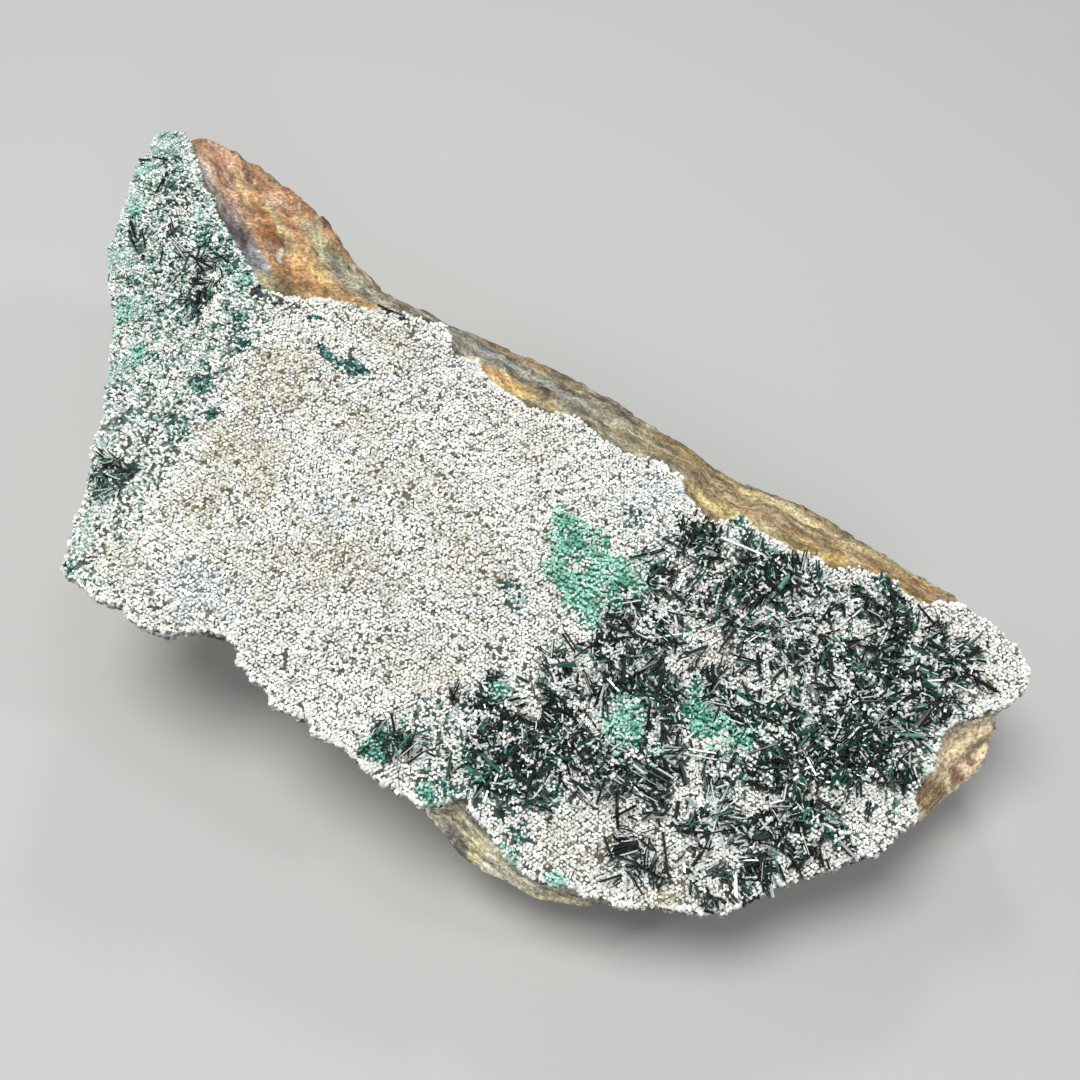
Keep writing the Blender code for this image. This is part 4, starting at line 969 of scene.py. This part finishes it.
# Grains of each size where they grow, fewer under needles, on black stains and in cracks.
def makeDruse(rim, rimOutward, material):
    draw = np.random.default_rng(druse["seed"])
    polygon = [tuple(p) for p in rim]
    plans, steps = [], []
    for kind, spacing in druse["spacings"].items():
        plan = scatter(draw, rim, spacing, druse["loose"])
        plan = plan[insidePolygon(plan, polygon)]
        plan = plan[grainKinds(plan, draw) == kind]
        missing = ((1 - druse["underNeedles"]) * fieldOf(plan)
                   + druse["blackGaps"] * stainOf("black", plan) + druse["crackShare"] * crackOf(plan))
        plan = plan[draw.random(len(plan)) > missing]
        plans.append(plan)
        steps.append(np.full(len(plan), spacing))
    plan, step = np.concatenate(plans), np.concatenate(steps)
    count = len(plan)
    sizes = np.stack([draw.uniform(*druse[side], count) for side in ("long", "wide", "high")], axis=1)
    sizes *= step[:, None]
    least, more = druse["mintRise"]
    raised = np.clip(stainOf("mint", plan), 0, 1) * (least + more * draw.random(count) ** 2)
    field = fieldOf(plan)
    raised += druse["lift"] * tuftOf(plan, field) * field * draw.uniform(*druse["liftRange"], count)
    raised += (druse["leftLift"] * leftStripOf(plan) * tuftOf(plan, 0.0)
               * draw.uniform(*druse["leftLiftRange"], count))
    centres = onFace(plan, crustLump(plan) - druse["bed"])
    centres[:, 2] += draw.uniform(*druse["rise"], count) + raised
    colours = grainColours(plan, draw)
    names = ("druseLeft", "druseMiddle", "druseRight", "druseLow")
    for name, part in zip(names, np.array_split(np.argsort(plan[:, 0]), len(names))):
        points, triangles = blocks(centres[part], sizes[part], draw)
        addPiece(name, points, triangles, material,
                 {"Tint": paintedFootShade(points, centres[part], colours[part])})

    # More grains down the broken rim, from just under its top to a little above its underside.
    count = len(rim) * rimGrains["each"]
    station = draw.integers(0, len(rim), count)
    depth = draw.uniform(0.0, 1.0, count)
    (inset, further), (down, lower) = rimGrains["inset"], rimGrains["down"]
    here = rim[station] - rimOutward[station] * (inset + further * depth)[:, None]
    here += draw.uniform(-rimGrains["loose"], rimGrains["loose"], here.shape)
    centres = onFace(here, 0.0)
    centres[:, 2] -= down + lower * depth
    sizes = draw.uniform(*rimGrains["sizes"], (count, 3))
    colours = grainColours(here, draw)
    # Painted shade: the lower a grain sits on the rim, the darker it is.
    colours[:, :3] *= (1 - rimGrains["paintedShade"] * depth)[:, None]
    points, triangles = blocks(centres, sizes, draw)
    addPiece("druseRim", points, triangles, material,
             {"Tint": paintedFootShade(points, centres, colours)})


# Epidote needles: straight glassy prisms with slanting ends. Each set has its lengths, widths,
# steepness in degrees, sides, spacing of its places, share of pale and of green needles, and,
# where they run together, its sheaves: their spacing, share of radial ones and spread.
needles = {
    "flatness": 0.75, "slant": 0.9, "taper": 0.9, "sunk": 0.35, "overhang": 0.4, "seed": 81,
    "rise": (0.0, 0.6), "paintedGlintLift": 0.5, "stainedGreen": 0.7, "feltShare": 1.15, "feltParts": 0.85,
    "barPitch": 0.28, "barLoose": 0.12, "barTurn": 0.04, "hairMargin": 1.0,
    "stripMargin": 0.8, "stripShare": 0.4, "stripFilm": 0.8,
    "darks": ["#0d1614", "#131d1a", "#0a1210", "#1b2623", "#10201b", "#1d2a29", "#1d1c18"],
    "greens": ["#1c4a40", "#2a6154", "#173a33", "#4a8373", "#20493f", "#14332f"],
    # pales: partly white needles and partly painted glints along glossy prisms.
    "pales": ["#dfe8e4", "#c4d3ce", "#f1f4f1", "#9fb7b0"],
    # stripes: dark and grey in turn, partly the blades' striations and partly painted highlights along
    # them.
    "stripes": ["#0d1614", "#4d5b58", "#131d1a", "#8c9a97", "#0a1210", "#2d3936"],
    "felt": {"lengths": (0.5, 1.7), "widths": (0.26, 0.6), "steepness": (0, 30), "sides": 4,
             "spacing": 0.54, "pale": 0.07, "green": 0.27, "sheaf": (3.2, 0.4, 0.4)},
    "bars": {"lengths": (1.6, 3.6), "widths": (0.27, 0.36), "steepness": (2, 18), "sides": 4,
             "spacing": 1.9, "pale": 0.09, "green": 0.14, "sheaf": (4.0, 0.3, 0.35)},
    # Painted highlights: short, wholly pale chips that stand in for the glinting ends of needles.
    "paintedGlints": {"lengths": (0.1, 0.4), "widths": (0.2, 0.42), "steepness": (0, 70), "sides": 4,
               "spacing": 0.9, "pale": 1.0, "green": 0.0},
    "thick": {"lengths": (1.8, 4.2), "widths": (0.45, 0.9), "steepness": (4, 24), "sides": 6,
              "spacing": 2.7, "pale": 0.02, "green": 0.08, "sheaf": (5.0, 0.3, 0.4)},
    "patchFelt": {"lengths": (0.7, 2.0), "widths": (0.16, 0.36), "steepness": (0, 24), "sides": 4,
                  "spacing": 0.5, "pale": 0.1, "green": 0.2, "sheaf": (3.0, 0.4, 0.3)},
    "patchThick": {"lengths": (1.8, 3.8), "widths": (0.35, 0.65), "steepness": (4, 26), "sides": 6,
                   "spacing": 2.0, "pale": 0.05, "green": 0.1, "sheaf": (4.0, 0.4, 0.3)},
    "hairs": {"lengths": (0.8, 2.2), "widths": (0.10, 0.17), "steepness": (0, 6), "sides": 4,
              "spacing": 6.5, "pale": 0.0, "green": 0.3},
    "strip": {"lengths": (0.3, 1.1), "widths": (0.12, 0.26), "steepness": (0, 10), "sides": 4,
              "spacing": 1.0, "pale": 0.0, "green": 0.6}}

# Needles that stand out in the photo: (x, y, heading in degrees, length, width).
loneNeedles = [
    (-80.5, 24.5, -60, 2.5, 0.4), (-80, 22.5, -70, 3, 0.4), (-79, 14, -35, 4.5, 0.45),
    (-78, 12.5, -30, 4, 0.4), (-76.5, 11.5, -25, 3.5, 0.4), (-75.5, 13, -40, 3, 0.35),
    (-72.5, 17.5, -35, 3, 0.3), (-71.5, 16, -40, 3.4, 0.3), (-70.2, 11.5, -60, 3, 0.4),
    (-63.8, 4.5, 40, 1.6, 0.25), (-63.2, 3.2, 35, 1.6, 0.25), (-62.8, 13.5, -72, 3.4, 0.25),
    (-61.4, 11, -60, 2.6, 0.3), (-58.0, 7.4, -62, 3.0, 0.8), (-57.4, 8.6, -50, 2.4, 0.5),
    (-46, 14.0, 5, 2.4, 0.2), (-45, 12.8, 30, 2.0, 0.22), (-43.5, 13.2, 60, 2.0, 0.2),
    (-42.5, 14.2, 50, 1.8, 0.22), (-50.2, 13.0, 60, 1.4, 0.4), (-87, 27.2, 25, 4, 0.3),
    (-84, 28.6, 20, 4.5, 0.35), (-81, 29.6, 8, 3, 0.25), (-30.5, 22.0, 8, 2.0, 0.4),
    (-28.4, 22.4, 5, 2.0, 0.4), (22.2, -9.5, -60, 3.5, 0.6), (26, -6, 70, 4, 0.4),
    (20, -19, 50, 5, 0.8), (42.2, -23.9, -53, 2.6, 0.6), (41, -22.0, 120, 2.6, 0.5),
    (50, -23.8, -51, 4.7, 0.7), (48.6, -18.6, -70, 3.4, 0.8), (47.0, -19.2, 80, 3.0, 0.6)]

# Rows of needles side by side, and bursts of them out from one place: (x, y, heading, length,
# width, how many, pitch of a row or nought for a burst, spread of the headings, colours).
needleGroups = [
    (43.2, -17.0, 4, 5.0, 0.32, 11, 0.52, 5, "stripes"),
    (44.4, 20.0, 60, 3.0, 0.62, 6, 0.9, 10, "darks"),
    (41.8, 15.8, 75, 3.6, 0.65, 5, 0.9, 12, "darks"),
    (45.0, -26.0, 50, 3.0, 0.6, 4, 0.46, 8, "darks"),
    (67.0, -8.0, 5, 4.5, 0.6, 4, 0.8, 8, "greens"),
    (12.8, -31.8, 75, 3.0, 0.3, 5, 0.7, 14, "darks"),
    (47.5, -9.5, 20, 4.0, 0.35, 2, 0.9, 6, "pales"),
    (23.5, -11.5, -40, 5.0, 0.45, 1, 1.0, 2, "pales"),
    (38.0, 12.5, -70, 4.5, 0.45, 1, 1.0, 2, "pales"),
    (37.3, 20.0, 7, 6.4, 0.5, 1, 1.0, 2, "pales"), (32.4, 9.8, 98, 4.5, 0.35, 1, 1.0, 2, "pales"),
    (41.8, 14.2, 71, 2.2, 0.5, 1, 1.0, 2, "pales"), (55.6, 18.4, 74, 4.0, 0.45, 1, 1.0, 2, "pales"),
    (53.3, -15.0, 0, 3.8, 0.26, 15, 0, 180, "pales"),
    (62.0, 17.0, 30, 4.4, 0.5, 8, 0, 60, "stripes"),
    (66.0, 6.5, 100, 4.2, 0.45, 9, 0, 80, "stripes"),
    (30.0, -19.0, 140, 4.6, 0.6, 7, 0, 60, "darks"),
    (60.0, -3.4, 200, 4.0, 0.4, 9, 0, 70, "stripes"),
    (36.0, -16.0, -60, 4.4, 0.35, 9, 0.45, 6, "stripes"),
    (70.6, 21.0, 40, 3.4, 0.4, 6, 0.5, 8, "stripes")]


# Unit vectors along the face for headings in plan and steepness over the face, in radians.
def axesOf(heading, steepness):
    along = np.array([1, 0, face["slopeX"]]) / math.hypot(1, face["slopeX"])
    out = np.array([-face["slopeX"], -face["slopeY"], 1])
    out /= np.linalg.norm(out)
    across = np.cross(out, along)
    flat = np.outer(np.cos(heading), along) + np.outer(np.sin(heading), across)
    return flat * np.cos(steepness)[:, None] + out * np.sin(steepness)[:, None], out


# Prisms from their roots to slanting ends: a ring of corners at each end of every one.
def prisms(roots, heading, steepness, lengths, widths, turns, sides):
    axis, out = axesOf(heading, steepness)
    side = np.cross(out, axis)
    side /= np.linalg.norm(side, axis=1)[:, None]
    back = np.cross(axis, side)
    cosine, sine = np.cos(turns)[:, None], np.sin(turns)[:, None]
    wide, narrow = side * cosine + back * sine, back * cosine - side * sine
    angle = 2 * np.pi * np.arange(sides) / sides + np.pi / sides
    across = 0.5 * widths[:, None] * np.cos(angle)
    upright = 0.5 * needles["flatness"] * widths[:, None] * np.sin(angle)
    offset = wide[:, None] * across[..., None] + narrow[:, None] * upright[..., None]
    low = roots[:, None] + offset - axis[:, None] * needles["sunk"]
    reach = lengths[:, None] + needles["slant"] * across
    high = roots[:, None] + needles["taper"] * offset + axis[:, None] * reach[..., None]
    points = np.concatenate([low, high], axis=1)
    k = np.arange(sides)
    after = (k + 1) % sides
    fan = np.arange(1, sides - 1)
    one = np.concatenate([
        np.stack([k, after, sides + after], axis=1), np.stack([k, sides + after, sides + k], axis=1),
        np.stack([0 * fan, fan + 1, fan], axis=1),
        np.stack([0 * fan + sides, sides + fan, sides + fan + 1], axis=1)])
    triangles = (np.arange(len(roots)) * 2 * sides)[:, None, None] + one[None]
    return points.reshape(-1, 3), triangles.reshape(-1, 3)


# Headings that run together: each needle follows its nearest sheaf or spray centre.
def sheafHeadings(plan, draw, kind):
    spacing, radialShare, spread = needles[kind]["sheaf"]
    low, high = plan.min(axis=0) - 1, plan.max(axis=0) + 1
    count = max(3, int(np.prod(high - low) / spacing ** 2))
    centre = draw.uniform(low, high, (count, 2))
    common = draw.uniform(0, 2 * np.pi, count)
    radial = draw.random(count) < radialShare
    nearest = np.argmin(((plan[:, None] - centre[None]) ** 2).sum(axis=2), axis=1)
    away = plan - centre[nearest]
    heading = np.where(radial[nearest], np.arctan2(away[:, 1], away[:, 0]), common[nearest])
    return heading + draw.normal(0, spread, len(plan))


# Nearly black needles, some green, more so on a stain, and some pale: partly white needles, partly
# painted glints.
def needleColours(draw, plan, paleShare, greenShare):
    count = len(plan)
    colours = pickFrom(needles["darks"], draw, count)
    stained = np.clip(stainOf("mint", plan) + stainOf("teal", plan), 0, 1)
    green = draw.random(count) < greenShare + needles["stainedGreen"] * stained
    colours[green] = pickFrom(needles["greens"], draw, count)[green]
    pale = draw.random(count) < paleShare
    colours[pale] = pickFrom(needles["pales"], draw, count)[pale]
    colours[:, 3] = draw.uniform(0, 1, count)
    return colours


# One set of needles with their headings; those whose tips would pass the crust's edge are left out.
def needleSet(draw, plan, heading, kind, polygon, lift=0.0):
    look = needles[kind]
    steep = np.radians(draw.uniform(*look["steepness"], len(plan)))
    length = draw.uniform(*look["lengths"], len(plan))
    forward = np.stack([np.cos(heading), np.sin(heading)], axis=1)
    tip = plan + (length * np.cos(steep))[:, None] * forward
    stays = depthInPolygon(tip, polygon) > -needles["overhang"]
    plan, heading, steep, length = plan[stays], heading[stays], steep[stays], length[stays]
    count = len(plan)
    roots = onFace(plan, draw.uniform(*needles["rise"], count) + lift + crustLump(plan))
    points, triangles = prisms(roots, heading, steep, length, draw.uniform(*look["widths"], count),
                               draw.uniform(0, np.pi, count), look["sides"])
    colours = needleColours(draw, plan, look["pale"], look["green"])
    return points, triangles, np.repeat(colours, 2 * look["sides"], axis=0)


# How far named needles stray: a row's by a share of its spread, others by degrees, and the share of
# their length by which they start behind their place. A lone needle is a row of one.
named = {"rowTurn": 0.35, "burstTurn": 4, "lengths": (0.8, 1.1), "widths": (0.8, 1.15),
         "rowBack": 0.5, "burstBack": -0.1, "rise": (0.1, 0.5), "steepness": (0, 12), "sides": 6,
         "gloss": (0, 0.6), "alone": (1, 1.0, 3, "darks")}


# Needles named one by one, in rows or in bursts, lying on the druse.
def namedNeedles(draw):
    sets = []
    for x, y, heading, length, width, *group in loneNeedles + needleGroups:
        count, pitch, spread, palette = group or named["alone"]
        turned = heading + spread * np.linspace(-1, 1, count) * (pitch == 0)
        jitter = named["rowTurn"] * spread if pitch else named["burstTurn"]
        turned = np.radians(turned + draw.normal(0, jitter, count))
        lengths = length * draw.uniform(*named["lengths"], count)
        along = np.stack([np.cos(turned), np.sin(turned)], axis=1)
        across = np.array([-math.sin(math.radians(heading)), math.cos(math.radians(heading))])
        place = (np.arange(count) - (count - 1) / 2) * pitch
        back = named["rowBack"] if pitch else named["burstBack"]
        plan = np.array([x, y]) + place[:, None] * across - back * lengths[:, None] * along
        roots = onFace(plan, draw.uniform(*named["rise"], count) + crustLump(plan))
        steep = np.radians(draw.uniform(*named["steepness"], count))
        widths = width * draw.uniform(*named["widths"], count)
        points, triangles = prisms(roots, turned, steep, lengths, widths,
                                   draw.uniform(0, np.pi, count), named["sides"])
        palette = needles[palette]
        colours = np.array([colourOf(palette[k % len(palette)]) for k in range(count)])
        colours[:, 3] = draw.uniform(*named["gloss"], count)
        sets.append((points, triangles, np.repeat(colours, 2 * named["sides"], axis=0)))
    return joinSets(sets)


# Joins sets of points, triangles and colours into one.
def joinSets(sets):
    points, triangles, colours, start = [], [], [], 0
    for somePoints, someTriangles, someColours in sets:
        points.append(somePoints)
        triangles.append(someTriangles + start)
        colours.append(someColours)
        start += len(somePoints)
    return np.concatenate(points), np.concatenate(triangles), np.concatenate(colours)


# Epidote: glassy, nearly black green, brighter green where thin.
def makeEpidoteMaterial():
    material = newMaterial("epidotePrisms")
    stain = addNode(material, "ShaderNodeAttribute", attribute_name="Tint")
    gloss = addNode(material, "ShaderNodeMapRange",
                    {"Value": stain.outputs["Alpha"], "To Min": 0.05, "To Max": 0.24})
    shader = addNode(material, "ShaderNodeBsdfPrincipled",
                     {"Base Color": stain.outputs["Color"], "Roughness": gloss.outputs["Result"],
                      "IOR": 1.73})
    return finishMaterial(material, shader)


# Patches of needles apart from the field: outline, the node each one stands for, seed, and shares
# of the places that carry fine and thick needles.
needlePatches = {
    "southSpray": {
        "outline": [(41.5, -28.5), (46, -30), (51, -29), (53, -26), (49, -23), (43, -23.5)],
        "node": "epidote_spray_south", "seed": 71, "fine": 0.5, "thick": 0.7},
    "frontTuft": {
        "outline": [(6, -33), (8, -36), (12, -35.5), (13.5, -32), (11, -29.5), (7, -30.5)],
        "node": "epidote_tuft_front", "seed": 72, "fine": 0.55, "thick": 0.75},
    "apexNeedles": {
        "outline": [(-68, 15), (-63, 8), (-60, 4), (-55, 4), (-54, 9), (-58, 15), (-65, 18)],
        "node": "epidote_patch_apex", "seed": 73, "fine": 0.11, "thick": 0.28},
    "leftNeedles": {
        "outline": [(-55, -20), (-53.5, -25), (-50, -27), (-46.5, -25), (-48, -20)],
        "node": "epidote_patch_left", "seed": 74, "fine": 0.42, "thick": 0.08}}
# Depths in mm inside a patch: where fine needles start and are full, and where thick ones start.
patchEdge = {"fine": (-0.6, 1.4), "thick": 0.3}


# Places for one kind of needle, at its own spacing.
def placesOf(kind, polygon, draw):
    return scatter(draw, np.asarray(polygon, float), needles[kind]["spacing"])


# A random heading for each place.
def anyHeading(draw, plan):
    return draw.uniform(0, 2 * np.pi, len(plan))


# The felt: fine needles in sheaves over the field, and short pale chips among them that are painted
# glints.
def makeField(draw, edge, material):
    felt = placesOf("felt", needleField["outline"], draw)
    field = fieldOf(felt)
    share = needles["feltShare"] * field * (1 - needles["feltParts"] * tuftOf(felt, field))
    felt = felt[draw.random(len(felt)) < share]
    feltSet = needleSet(draw, felt, sheafHeadings(felt, draw, "felt"), "felt", edge)
    paintedGlints = placesOf("paintedGlints", needleField["outline"], draw)
    paintedGlints = paintedGlints[draw.random(len(paintedGlints)) < fieldOf(paintedGlints)]
    paintedGlintSet = needleSet(draw, paintedGlints, anyHeading(draw, paintedGlints), "paintedGlints", edge, needles["paintedGlintLift"])
    addNeedles("epidoteFelt", joinSets([feltSet, paintedGlintSet]), material, ["epidote_field"])


# Bars of three thin prisms side by side, thick prisms, fine hairs, and the needles named one by one.
def makeBlades(draw, rim, edge, material):
    bars = placesOf("bars", needleField["outline"], draw)
    bars = bars[draw.random(len(bars)) < fieldOf(bars)]
    headings = np.repeat(sheafHeadings(bars, draw, "bars"), 3)
    across = np.stack([-np.sin(headings), np.cos(headings)], axis=1)
    aside = np.tile([-needles["barPitch"], 0.0, needles["barPitch"]], len(bars))
    bars = np.repeat(bars, 3, axis=0) + across * aside[:, None]
    bars += draw.normal(0, needles["barLoose"], bars.shape)
    headings = headings + draw.normal(0, needles["barTurn"], len(bars))
    barSet = needleSet(draw, bars, headings, "bars", edge)
    thick = placesOf("thick", needleField["outline"], draw)
    thick = thick[draw.random(len(thick)) < fieldOf(thick)]
    thickSet = needleSet(draw, thick, sheafHeadings(thick, draw, "thick"), "thick", edge)
    hairs = placesOf("hairs", rim, draw)
    hairs = hairs[depthInPolygon(hairs, edge) > needles["hairMargin"]]
    hairSet = needleSet(draw, hairs, anyHeading(draw, hairs), "hairs", edge)
    strip = placesOf("strip", rim, draw)
    share = needles["stripShare"] * leftStripOf(strip) * (1 - tuftOf(strip, 0.0))
    share *= 1 - needles["stripFilm"] * stainOf("film", strip)
    inner = depthInPolygon(strip, edge) > needles["stripMargin"]
    strip = strip[inner & (draw.random(len(strip)) < share)]
    stripSet = needleSet(draw, strip, anyHeading(draw, strip), "strip", edge)
    loose = joinSets([barSet, thickSet, hairSet, stripSet, namedNeedles(draw)])
    addNeedles("epidoteBlades", loose, material, [])


# One patch: fine needles that thin out towards its edge, and thick ones a little inside it.
def makePatch(name, patch, edge, material):
    draw = np.random.default_rng(patch["seed"])
    polygon = patch["outline"]
    fine = placesOf("patchFelt", polygon, draw)
    inside = smoothStep(depthInPolygon(fine, polygon), *patchEdge["fine"])
    fine = fine[draw.random(len(fine)) < patch["fine"] * inside]
    fineSet = needleSet(draw, fine, sheafHeadings(fine, draw, "patchFelt"), "patchFelt", edge)
    thick = placesOf("patchThick", polygon, draw)
    thick = thick[depthInPolygon(thick, polygon) > patchEdge["thick"]]
    thick = thick[draw.random(len(thick)) < patch["thick"]]
    thickSet = needleSet(draw, thick, sheafHeadings(thick, draw, "patchThick"), "patchThick", edge)
    addNeedles(name, joinSets([fineSet, thickSet]), material, [patch["node"]])


def makeNeedles(rim, material):
    draw = np.random.default_rng(needles["seed"])
    edge = [tuple(p) for p in rim[::3]]        # every third point of the rim is near enough
    makeField(draw, edge, material)
    makeBlades(draw, rim, edge, material)
    for name, patch in needlePatches.items():
        makePatch(name, patch, edge, material)


def addNeedles(name, needleArrays, material, nodes):
    points, triangles, colours = needleArrays
    piece = addPiece(name, points, triangles, material, {"Tint": colours})
    if nodes:
        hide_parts(*nodes)


# The studio: a pale floor, one large soft light overhead, two fills, two small lights for glints.
studio = {
    "floor": 1.2, "floorColour": "#b8b8b6", "world": "#e9edf2", "worldStrength": 0.18,
    "lights": [
        ("overhead", (-0.10, -0.10, 0.75), 0.42, 4.95, "#fdfdfc"),
        ("fill", (0.55, -0.55, 0.45), 0.30, 2.0, "#f6f9ff"),
        ("fillLeft", (-0.62, -0.30, 0.36), 0.40, 1.2, "#f9f6f0"),
        ("glintBehind", (-0.25, 0.55, 0.55), 0.12, 1.2, "#ffffff"),
        ("glintRight", (0.55, 0.25, 0.60), 0.10, 0.9, "#ffffff")]}


# Unglazed pale studio card.
def makeFloor():
    half = studio["floor"]
    corners = [(-half, -half, 0), (half, -half, 0), (half, half, 0), (-half, half, 0)]
    mesh = bpy.data.meshes.new("floor")
    mesh.from_pydata(corners, [], [(0, 1, 2, 3)])
    floor = bpy.data.objects.new("floor", mesh)
    material = newMaterial("paleCard")
    place = addNode(material, "ShaderNodeTexCoord").outputs["Object"]
    fibre = addNode(material, "ShaderNodeTexNoise",
                    {"Vector": place, "Scale": 1 / 0.0012, "Detail": 2.0})
    bump = addNode(material, "ShaderNodeBump",
                   {"Height": fibre.outputs["Fac"], "Strength": 0.15, "Distance": 0.0002})
    shader = addNode(material, "ShaderNodeBsdfPrincipled",
                     {"Base Color": colourOf(studio["floorColour"]), "Roughness": 0.85,
                      "Normal": bump.outputs["Normal"]})
    floor.data.materials.append(finishMaterial(material, shader))
    bpy.context.scene.collection.objects.link(floor)


def makeLights():
    for name, location, size, power, hexValue in studio["lights"]:
        lamp = bpy.data.lights.new(name, "AREA")
        lamp.shape = "DISK"
        lamp.size = size
        lamp.energy = power
        lamp.color = colourOf(hexValue)[:3]
        holder = bpy.data.objects.new(name, lamp)
        holder.location = location
        holder.rotation_euler = (-Vector(location)).to_track_quat("-Z", "Y").to_euler()
        bpy.context.scene.collection.objects.link(holder)
    world = bpy.data.worlds.new("studioAir")
    world.use_nodes = True
    background = world.node_tree.nodes["Background"]
    background.inputs["Color"].default_value = colourOf(studio["world"])
    background.inputs["Strength"].default_value = studio["worldStrength"]
    bpy.context.scene.world = world
    bpy.context.scene.view_settings.view_transform = "Standard"


# The photograph's view: 52 degrees down, from the front right, 50 degrees wide.
view = {"place": (0.07398, -0.08955, 0.17213), "azimuth": 32.9, "down": 52.0, "wide": 50.0}


def makeCamera():
    lens = bpy.data.cameras.new("photoView")
    lens.angle = math.radians(view["wide"])
    lens.clip_start = 0.01
    camera = bpy.data.objects.new("photoView", lens)
    camera.location = view["place"]
    camera.rotation_euler = (math.radians(90 - view["down"]), 0, math.radians(view["azimuth"]))
    bpy.context.scene.collection.objects.link(camera)
    bpy.context.scene.camera = camera


makeCamera()
makeLights()
makeFloor()
crustPlan = outlineGrid(rock["fine"], crust["ragged"])
crustBorder = borderOf(*crustPlan.shape[:2])
crustRim = crustPlan.reshape(-1, 2)[crustBorder]
makeRock(crustBorder)
makeCrust(crustPlan, crustBorder)
makeDruse(crustRim, outwardOf(crustRim), makeDruseMaterial())
makeNeedles(crustRim, makeEpidoteMaterial())
